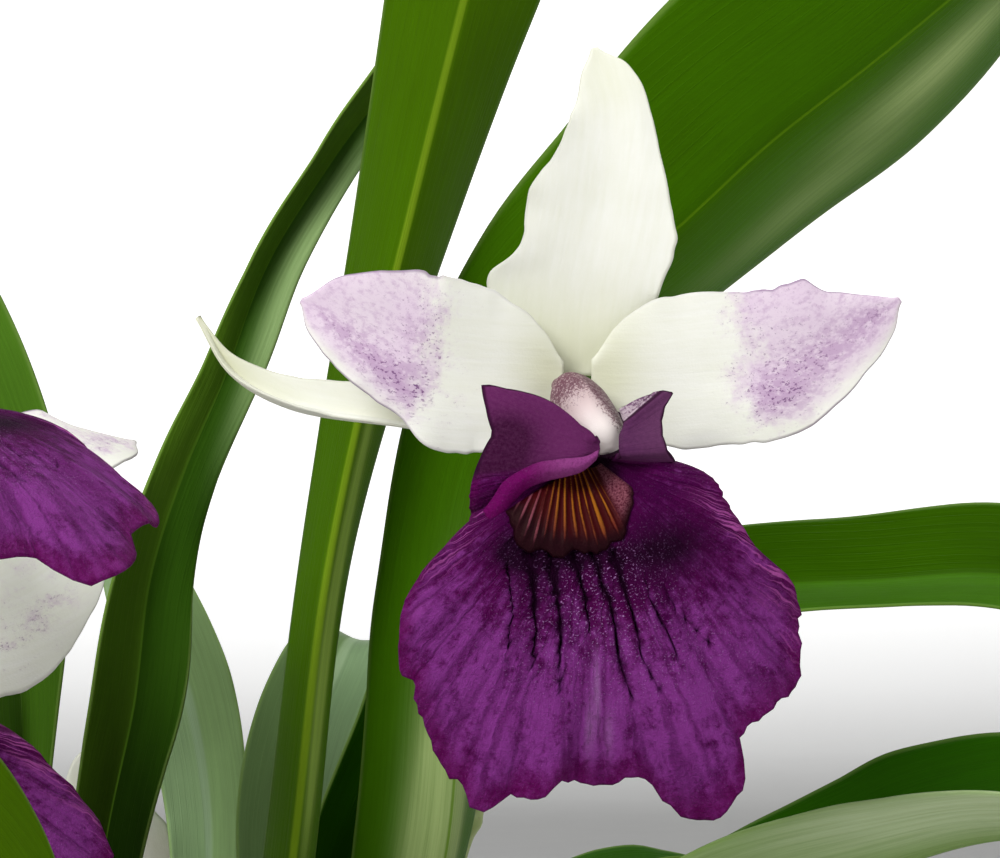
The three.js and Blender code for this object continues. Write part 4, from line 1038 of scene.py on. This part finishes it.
def makeLip(bloom, spec, material):
    look = lipLook
    main = bloom == "bloom_a"
    columns, rings = (int(look[key] * spec["fine"] * detail) for key in ("columns", "rings"))
    margin, edge = np.array(marginFine if main else marginPlain, float), np.array(throatEdge, float)
    angle = np.linspace(margin[0, 0], margin[-1, 0], columns)[:, None]
    turn = np.radians(angle)
    reach = np.interp(angle, margin[:, 0], margin[:, 1])
    inSkirt = smooth(*look["leftFold"], angle) * (1 - smooth(*look["skirtEnd"], angle))
    broad, small = look["teeth"]
    teeth = broad * wander(angle * 0.8, 0, spec["seed"]) + small * wander(angle * 1.9, 0, spec["seed"] + 2)
    reach = reach + inSkirt * teeth
    share = np.linspace(0, 1, rings)[None, :]
    throatX, throatZ = (np.interp(angle, edge[:, 0], edge[:, k]) for k in (1, 2))
    outX = reach * np.sin(turn) + 0.6 * (1 - smooth(-176, -150, angle))
    outZ = -reach * np.cos(turn)
    x, z = throatX + (outX - throatX) * share, throatZ + (outZ - throatZ) * share
    r = np.hypot(x, z)
    depth, inCollar = lipDepth(angle, r, r / reach)
    # ruffles and crumples that only the finer piece has
    tall, many = look["waves"]
    depth = depth + tall * inSkirt * share ** 5 * np.sin(many * turn + 1.3)
    depth = depth + look["ruffle"] * inSkirt * smooth(0.25, 0.9, share) * wander(angle * 0.11, share * 2.2, 5)
    depth = depth + look["crumple"] * inSkirt * smooth(0.7, 1, share) * wander(angle * 0.3, share * 3, 6)
    # lobes that round off towards the throat, and the right one's margin behind its fold
    depth = depth + inCollar * look["rounded"] * (1 - smooth(0, 0.22, share)) ** 2
    depth = depth + look["behind"] * smooth(130.5, 134, angle)
    groove = grooveAt(x, z) * inSkirt * (1 if main else look["plainGroove"])
    grid = np.stack(np.broadcast_arrays(x, depth + look["grooveDepth"] * groove, z), -1)
    a, b = angle + 0 * r, share + 0 * r
    body = look["edge"] + (look["thick"] - look["edge"]) * (1 - smooth(0.93, 1, share)) + 0 * r
    fields = {
        "share": (a, b, r), "lay": (x, z, spec["seed"] * 9.1), "groove": (groove,),
        "deep": (spots(x, z, look["deepAt"]) * (np.abs(a) < 78),), "roll": (0 * r,),
        "wrinkled": (spots(a, b, look["wrinkledAt"]),),
        **{key: (spots(x, z, look[key + "At"]),) for key in ("pale", "glinted", "shadow")},
    }
    sheet = skin(grid, body, fields, np.array(front, float))
    # the roll along the left lobe's lower margin
    rows = int(look["rollRows"] * spec["fine"] * detail)
    upper, lower = (throughPoints([(*p, 0) for p in line], np.linspace(0, 1, rows))[:, None, :2]
                    for line in (rollUpper, rollLower))
    across = np.linspace(0, 1, look["rollColumns"])[None, :, None]
    flat = upper + (lower - upper) * across
    ends = (np.sin(math.pi * np.clip(np.linspace(0.06, 1, rows), 0, 1)) ** 0.4)[:, None]
    swell = np.sin(math.pi * (0.1 + 0.85 * across[..., 0])) * ends
    y = -look["collar"] - look["rollLift"] - swell + look["rollTuck"] * across[..., 0] ** 3
    rollGrid = np.stack([flat[..., 0], y, flat[..., 1]], -1)
    rollFields = {key: tuple(0 * y for _ in value) for key, value in fields.items()}
    rollFields["lay"] = (flat[..., 0], flat[..., 1], spec["seed"] * 9.1)
    rollFields["share"] = (0 * y - 70, 0 * y + 0.5, 0 * y + 8)
    rollFields["roll"] = (0 * y + 1,)
    hem = skin(rollGrid, look["rollThick"], rollFields, np.array(front, float))
    shape = toBloom(together([sheet, hem]), spec)
    meshPiece(bloom + "_lip_sheet", shape, bloom + "_lip", material)


# callus: a fan of ribs on the lip, below the column
callusLook = {
    "columns": 150, "rings": 56, "from": -57, "to": 52, "start": 1.6,
    "reach": [12.6, 14.2, 13, 11.8, 11.4, 9, 6.4], "ribTurn": 4.9, "ribFrom": (-3.2, 4.3),
    "height": 2, "slope": 0.4, "sunk": 0.42, "least": 0.05, "crest": 0.5,
    "ridge": 0.45, "patch": (78, 24, 44), "ochre": (150, 90, 22), "maroon": (56, 4, 10),
    "pink": (122, 62, 76), "brown": (100, 40, 30), "blotch": (128, 74, 88), "black": (26, 2, 12),
}


def callusMaterial():
    look = callusLook

    def build(start):
        angle, share, r = field(start, "share").parts()
        ridge = amount(start, "ridge")
        x, z, seed = field(start, "lay").parts()
        place = x.joined(z, seed)
        cloud = place.noise(0.5, 3.0, 0.6)
        fine = place.noise(2.4, 3.0, 0.65)
        grain = place.noise(4.0, 3.0, 0.7)
        # ochre ribs in the middle, pinkish ones at the left and a smooth freckled patch at the right
        middle = x.step(-6.5, -3.5) * (1 - x.step(1.5, 3.0)) * (1 - r.step(6.5, 11.0))
        crest = (middle * (0.55 + 0.8 * cloud)).clamped().between(tint(*look["brown"]), tint(*look["ochre"]))
        crest = (1 - x.step(-7.5, -5.0)).between(crest, tint(*look["pink"]))
        valley = (r.step(8.5, 11.5)).between(tint(*look["maroon"]), tint(*look["black"]))
        base = (ridge + 0.35 * (fine - 0.5)).step(0.35, 0.8).between(valley, crest)
        patch = angle.step(20, 32) * (1 - r.step(7.5, 10.5))
        freckled = grain.step(0.42, 0.6).between(tint(*look["blotch"]), tint(*look["patch"]))
        base = (patch * (0.55 + 0.6 * cloud)).clamped().between(base, freckled)
        base = (share.step(0.74, 0.97) * 0.85).between(base, tint(*look["black"]))
        return {"Base Color": base, "Roughness": 0.42 + 0.2 * fine, "bump": (fine + 0.6 * cloud, 0.4, 0.25)}

    plain = {"Specular IOR Level": 0.12, "Specular Tint": tint(230, 180, 160)}
    return makeMaterial("callusRibs", build, plain)


def makeCallus(bloom, spec, material):
    look = callusLook
    columns, rings = (int(look[key] * spec["fine"] * detail) for key in ("columns", "rings"))
    part = np.linspace(0, 1, columns)[:, None]
    share = np.linspace(0, 1, rings)[None, :]
    angle = look["from"] + (look["to"] - look["from"]) * part
    ragged = 1 + 0.035 * wander(part * 14, 0, 8) + 0.02 * wander(part * 31, 0, 3)
    reach = along(look["reach"], part) * ragged
    r = look["start"] + (reach - look["start"]) * share
    x, z = r * np.sin(np.radians(angle)), -r * np.cos(np.radians(angle))
    # ribs of uneven width that fan out from a point above the throat
    fan = np.degrees(np.arctan2(x - look["ribFrom"][0], look["ribFrom"][1] - z)) / look["ribTurn"]
    fan = fan + 0.2 * wander(fan * 0.8, 0, 8) + 0.1 * wander(fan * 0.6, r * 0.3, 12)
    ridge = (0.5 + 0.5 * np.cos(2 * math.pi * fan)) ** 2.2
    ridge = ridge * (0.8 + 0.3 * wander(np.round(fan), r * 0.25, 9))
    ridge = ridge * (1 - smooth(20, 34, angle)) * (1 - 0.6 * smooth(0.72, 1, share))
    margin = np.array(marginPlain, float)
    under = lipDepth(angle, r, r / np.interp(angle, margin[:, 0], margin[:, 1]))[0] - look["sunk"]
    crest = np.exp(-((angle - 6) / 22) ** 2 - ((r - 5) / 2.8) ** 2)
    rounding = np.sqrt(np.clip(1 - share ** 8, 0, 1)) * np.sqrt(np.clip(1 - (2 * part - 1) ** 16, 0, 1))
    height = look["height"] - look["slope"] * share - 0.55 + look["crest"] * crest + look["ridge"] * ridge
    height = height * rounding
    low = np.stack([x, under, z], -1)
    top = np.stack([x, under - np.maximum(height, look["least"]), z], -1)
    fields = {"share": (angle, share, r), "ridge": (ridge,), "lay": (x, z, spec["seed"])}
    shape = toBloom(shell(top, low, fields), spec)
    meshPiece(bloom + "_callus_ribs", shape, bloom + "_callus", material)


# column: a hooded bar over the throat, its foot, which the lip hangs from, and a dark disc behind the throat
# that paints the shade inside it
columnLook = {
    "sides": 40, "rows": 60, "footRows": 24,
    "line": [[-4.3, 3, 8.9], [-3, 2, 8.1], [-0.9, 0.1, 5.8], [0.9, -2.1, 3.4], [2, -3.3, 1.6],
             [2.4, -3.6, 0.5]],
    "radius": [0.7, 2.3, 3, 3.3, 3.4, 3.3, 3.2, 3, 2.6, 1.3],
    "foot": [[-1, 2.4, 5], [-0.5, 2.8, 2], [0, 3.1, -1.4]],
    "footRadius": [0.6, 1.7, 1.9, 1.8, 0.7], "throatShadeDisc": (2, 3.4, 1.5), "throatShadeRadius": 4.2,
    "face": (214, 192, 192), "pale": (240, 230, 226), "hood": (104, 62, 76), "dark": (78, 38, 56),
    "footDarkAndThroatShade": (52, 14, 44),
}


def columnMaterial():
    look = columnLook

    def build(start):
        foot = field(start, "share").parts()[2]
        x, y, z = field(start, "lay").parts()
        place = x.joined(y, z)
        fine = place.noise(3.0, 4.0, 0.75)
        cloud = place.noise(0.45, 2.0, 0.5)
        # down runs from the hood to the tip, over to the right of the bar
        down = (x + 4.1) * 0.62 - (z - 8.5) * 0.78
        over = (x + 4.1) * 0.78 + (z - 8.5) * 0.62
        base = down.step(3.0, 8.0).between(tint(*look["face"]), tint(*look["pale"]))
        hooded = 1 - down.step(0.4, 5.2)
        mauve = hooded.sum("MAXIMUM", hooded, over.step(1.3, 3.3) * 0.85)
        specks = (fine + 0.3 * mauve - 0.66).step(0.0, 0.14) * mauve.step(0.05, 0.4)
        base = (mauve * 0.4 + specks * 0.6).clamped().between(base, tint(*look["hood"]))
        base = ((over + 0.6 * cloud).step(3.1, 3.6) * 0.6).between(base, tint(*look["dark"]))
        # the foot's dark colour, also on the disc behind the throat, where it is painted shade
        base = foot.between(base, tint(*look["footDarkAndThroatShade"]))
        return {"Base Color": base, "Roughness": 0.4 + 0.2 * fine, "bump": (fine + cloud, 0.25, 0.2)}

    plain = {"Specular IOR Level": 0.3, "Coat Weight": 0.08, "Coat Roughness": 0.3}
    return makeMaterial("columnPink", build, plain)


def makeColumn(bloom, spec, material):
    look = columnLook
    shapes = []
    for key, thick, rows, foot in (("line", "radius", "rows", 0), ("foot", "footRadius", "footRows", 1)):
        rows = look[rows]
        radius = np.maximum(along(look[thick], np.linspace(0, 1, rows)), 0.2)
        shape = tube(evenly(look[key], rows)[0], radius, look["sides"], (0, 0.7, 0.7))
        shape[3]["share"][:, 2] = foot
        shape[3]["lay"] = shape[0].copy()
        shapes.append(shape)
    # a dark disc behind the throat: painted shade inside the throat
    wide = look["throatShadeRadius"]
    disc = lathe([(0, -0.4), (wide, -0.25), (wide, 0.25), (0, 0.4)], look["sides"])
    points = disc[0][:, [0, 2, 1]] * (1, -1, 1) + np.array(look["throatShadeDisc"], float)
    share = np.column_stack([np.zeros((len(points), 2)), np.ones(len(points))])
    shapes.append((points, disc[1], disc[2], {"share": share, "lay": points.copy()}))
    shape = toBloom(together(shapes), spec)
    meshPiece(bloom + "_column_bar", shape, bloom + "_column", material)


# stalks, each with the ovary at its end
stalkLook = {
    "radius": 1.7, "knob": (-1.5, 6, 7.6), "run": (0, 20, -3), "rows": 220, "sides": 24,
    # the ovary's radius by distance from its end; sheaths: first, least to the foot, apart, swell, reach
    "ovaryAt": [0, 0.8, 1.6, 5, 12, 19, 24], "ovary": [1.2, 2.1, 2.2, 2.3, 2.7, 2],
    "sheaths": (38, 12, 34, 0.5, 1.4),
    "green": (134, 156, 78), "brown": (120, 84, 62), "pale": (176, 190, 128),
}


def stalkMaterial():
    look = stalkLook

    def build(start):
        turn = field(start, "share").parts()[0]
        x, y, z = field(start, "lay").parts()
        place = x.joined(y, z)
        cloud = place.noise(0.12, 3.0, 0.6)
        fine = place.noise(1.2, 3.0, 0.65)
        ribs = (turn * 3.0).sum("SINE", turn * 3.0) * 0.5 + 0.5
        base = cloud.step(0.3, 0.7).between(tint(*look["green"]), tint(*look["pale"]))
        base = (fine.step(0.55, 0.7) * 0.5).between(base, tint(*look["brown"]))
        return {"Base Color": base, "Roughness": 0.4 + 0.2 * fine, "bump": (fine + 0.5 * ribs, 0.3, 0.2)}

    return makeMaterial("stalkGreen", build, {"Coat Weight": 0.1})


def makeStalk(bloom, spec, material):
    look = stalkLook
    turn, throat = bloomTurn(spec), np.array(spec["throat"], float)
    knob = turn @ np.array(look["knob"], float) + throat
    neck = turn @ (np.array(look["knob"], float) + np.array(look["run"], float)) + throat
    points = [*spec["stalk"], neck, neck + (knob - neck) * 0.35, neck + (knob - neck) * 0.7, knob]
    line, _, length = evenly(points, look["rows"])
    left = (1 - np.linspace(0, 1, look["rows"])) * length
    ovary = np.interp(left, look["ovaryAt"], [*look["ovary"], look["radius"]])
    radius = np.where(left < look["ovaryAt"][-1], ovary, look["radius"])
    # a joint with a papery sheath every few centimetres
    first, foot, apart, swell, reach = look["sheaths"]
    for place in np.arange(first, length - foot, apart):
        radius = radius + swell * np.exp(-((left - place) / reach) ** 2)
    shape = tube(line, radius, look["sides"], (0.3, 1, 0.1))
    shape[3]["lay"] = shape[0].copy()
    node = bloom.replace("bloom", "stalk")
    meshPiece(node + "_stem", shape, node, material)


tepalMaterials = {kind: tepalMaterial(kind) for kind in ("sepal", "petal")}
lipVelvet, callusRibs = lipMaterial(), callusMaterial()
columnPink, stalkGreen = columnMaterial(), stalkMaterial()
for bloomName, bloomSpec in blooms.items():
    makeTepals(bloomName, bloomSpec, tepalMaterials)
    makeLip(bloomName, bloomSpec, lipVelvet)
    makeCallus(bloomName, bloomSpec, callusRibs)
    makeColumn(bloomName, bloomSpec, columnPink)
    makeStalk(bloomName, bloomSpec, stalkGreen)
print("blooms ready")


# pot

potLook = {
    "height": 105, "rim": 60, "rimHeight": 22, "step": 3.5, "base": 42, "wall": 4, "floor": 6, "drain": 5,
    "drainRing": 24, "drains": 4, "sides": 144, "clay": (188, 104, 66), "pale": (206, 138, 102),
    "bloomed": (222, 188, 164), "stain": (134, 82, 58),
}


def potInner(z):
    look = potLook
    low, high = look["base"] - look["wall"], look["rim"] - look["wall"] - 1
    return low + (high - low) * (z - look["floor"]) / (look["height"] - look["floor"])


def makePot():
    look = potLook
    step, lip, top = look["rim"] - look["step"], look["height"] - look["rimHeight"], look["height"]
    inner = look["rim"] - look["wall"] - 1
    profile = [
        (0, 0), (look["base"] - 1, 0), (look["base"] - 0.3, 0.3), (look["base"], 1),
        *[(look["base"] + (step - look["base"]) * f, 1 + (lip - 1) * f) for f in (0.25, 0.5, 0.75)],
        (step, lip - 0.4), (step + 0.4, lip), (look["rim"] - 0.8, lip + 0.3), (look["rim"] - 0.2, lip + 0.9),
        (look["rim"], lip + 2), (look["rim"], top - 2), (look["rim"] - 0.4, top - 0.7),
        (look["rim"] - 1.5, top), (inner + 1, top), (inner + 0.2, top - 0.5), (potInner(top - 2), top - 2),
        (potInner(50), 50), (potInner(look["floor"] + 2), look["floor"] + 2),
        (potInner(look["floor"]) - 1, look["floor"]), (0, look["floor"]),
    ]

    def build(start):
        place = start.node("ShaderNodeTexCoord", output="Object")
        x, y, z = place.parts()
        around = (x * 6).joined(y * 6, z * 160).noise(1.0, 2.0, 0.5)
        cloud = place.noise(22.0, 4.0, 0.6)
        grain = place.noise(700.0, 3.0, 0.7)
        pores = place.noise(260.0, 2.0, 0.5)
        base = (cloud * 0.7 + around * 0.3).step(0.35, 0.68).between(tint(*look["clay"]), tint(*look["pale"]))
        chalk = cloud.step(0.52, 0.7) * z.step(0.02, 0.075) * (1 - z.step(0.08, 0.1)) * 0.4
        base = chalk.between(base, tint(*look["bloomed"]))
        base = ((1 - z.step(0.0, 0.02)) * 0.4 * cloud.step(0.4, 0.6)).between(base, tint(*look["stain"]))
        base = (pores.step(0.66, 0.74) * 0.35).between(base, tint(*look["stain"]))
        return {"Base Color": base, "Roughness": 0.78 + 0.15 * grain,
                "bump": (grain + 0.8 * around + 0.8 * pores, 0.35, 0.4)}

    material = makeMaterial("potClay", build, {"Specular IOR Level": 0.25})
    pot = meshPiece("pot_body", lathe(profile, look["sides"]), "pot", material)
    drills, through = [], look["floor"] + 1
    for k in range(look["drains"]):
        angle = 2 * math.pi * (k + 0.5) / look["drains"]
        drill = lathe([(0, -1), (look["drain"], -1), (look["drain"], through), (0, through)], 40)
        offset = np.array([look["drainRing"] * math.cos(angle), look["drainRing"] * math.sin(angle), 0])
        drills.append((drill[0] + offset, *drill[1:]))
    points, quads, triangles, _ = together(drills)
    mesh = bpy.data.meshes.new("drill")
    mesh.from_pydata((points * millimetre).tolist(), [], quads.tolist() + triangles.tolist())
    cutter = bpy.data.objects.new("drill", mesh)
    bpy.context.scene.collection.objects.link(cutter)
    cut = pot.modifiers.new("drains", "BOOLEAN")
    cut.object = cutter
    bpy.context.view_layer.update()
    drilled = bpy.data.meshes.new_from_object(pot.evaluated_get(bpy.context.evaluated_depsgraph_get()))
    pot.modifiers.clear()
    pot.data = drilled
    bpy.data.objects.remove(cutter)
    print("pot ready")


makePot()


# bark: a domed bed and loose chips on it, all one piece

barkLook = {
    "level": 95, "dome": 3, "ring": 51, "rings": 40, "sides": 160, "lumps": 0.9, "chips": 290,
    "size": (11, 6.5, 3.6), "seed": 7,
    "dark": (58, 38, 26), "mid": (104, 70, 46), "light": (150, 108, 74), "dust": (176, 150, 120),
}


def chip(size, seed):
    # a rounded flake with a rough face
    n = 6
    line = np.linspace(-1, 1, n)
    sheets = []
    for axis in range(3):
        for sign in (-1, 1):
            a, b = np.meshgrid(line, line, indexing="ij")
            face = np.zeros((n, n, 3))
            face[..., axis] = sign
            face[..., (axis + 1) % 3] = a if sign > 0 else b
            face[..., (axis + 2) % 3] = b if sign > 0 else a
            index = np.arange(n * n).reshape(n, n)
            sheets.append((face.reshape(-1, 3), gridFaces(index), noTriangles, {}))
    points, quads, triangles, _ = together(sheets)
    length = (np.abs(points) ** 5).sum(1) ** 0.2
    points = points / length[:, None]
    rough = wander(points[:, 0] * 2.3 + points[:, 2], points[:, 1] * 2.3 - points[:, 2], seed)
    points = points * np.array(size) / 2 * (1 + 0.16 * rough)[:, None]
    points[:, 2] += 0.5 * wander(points[:, 0] * 0.35, points[:, 1] * 0.35, seed + 9)
    return points, quads, triangles, {}


def makeBark():
    look = barkLook
    foot, level = potLook["floor"] + 0.3, look["level"]
    radius = np.linspace(0, 1, look["rings"])[1:][::-1]
    wall = potInner(level) - 0.3
    profile = [(0, foot), (potInner(foot) - 0.3, foot), (wall, level - 1)]
    profile += [(wall * f, level + look["dome"] * (1 - f * f)) for f in radius] + [(0, level + look["dome"])]
    points, quads, triangles, _ = lathe(profile, look["sides"])
    lifted = smooth(level - 2, level, points[:, 2])
    points[:, 2] += lifted * look["lumps"] * wander(points[:, 0] * 0.22, points[:, 1] * 0.22, 3)
    shapes = [(points, quads, triangles, {"lay": points.copy(), "own": np.zeros(len(points))})]
    draw = np.random.default_rng(look["seed"])
    golden = math.pi * (3 - math.sqrt(5))
    for k in range(look["chips"]):
        r = look["ring"] * math.sqrt((k + 0.5) / look["chips"])
        angle = k * golden + draw.uniform(-0.2, 0.2)
        size = np.array(look["size"]) * draw.uniform(0.55, 1.25, 3)
        shape = chip(size, k)
        x, y, z = draw.uniform(-0.45, 0.45), draw.uniform(-0.45, 0.45), draw.uniform(0, 2 * math.pi)
        turn = bloomTurn({"turn": [math.degrees(x), math.degrees(y), math.degrees(z)]})
        reach = np.abs(shape[0] @ turn.T)[:, :2].max()
        r = min(r, wall - reach)
        height = level + look["dome"] * (1 - (r / wall) ** 2) + draw.uniform(-0.6, 1.6)
        moved = shape[0] @ turn.T + np.array([r * math.cos(angle), r * math.sin(angle), height])
        fields = {"lay": shape[0] + draw.uniform(0, 300, 3),
                  "own": np.full(len(moved), draw.uniform(0.05, 1))}
        shapes.append((moved, shape[1], shape[2], fields))

    def build(start):
        x, y, z = field(start, "lay").parts()
        own = amount(start, "own")
        grain = (x * 0.35).joined(y * 1.7, z * 2.2).noise(1.0, 4.0, 0.65)
        fine = x.joined(y, z).noise(2.6, 3.0, 0.7)
        tone = (0.55 * grain + 0.55 * own + 0.25 * fine - 0.2).clamped()
        base = tone.step(0.1, 0.55).between(tint(*look["dark"]), tint(*look["mid"]))
        base = (tone.step(0.5, 0.95) * 0.8).between(base, tint(*look["light"]))
        base = (fine.step(0.62, 0.8) * 0.35).between(base, tint(*look["dust"]))
        return {"Base Color": base, "Roughness": 0.8 + 0.15 * fine, "bump": (grain + 0.6 * fine, 0.8, 0.7)}

    material = makeMaterial("barkChips", build, {"Specular IOR Level": 0.2})
    meshPiece("bark_bed", together(shapes), "bark", material)
    print("bark ready")


makeBark()
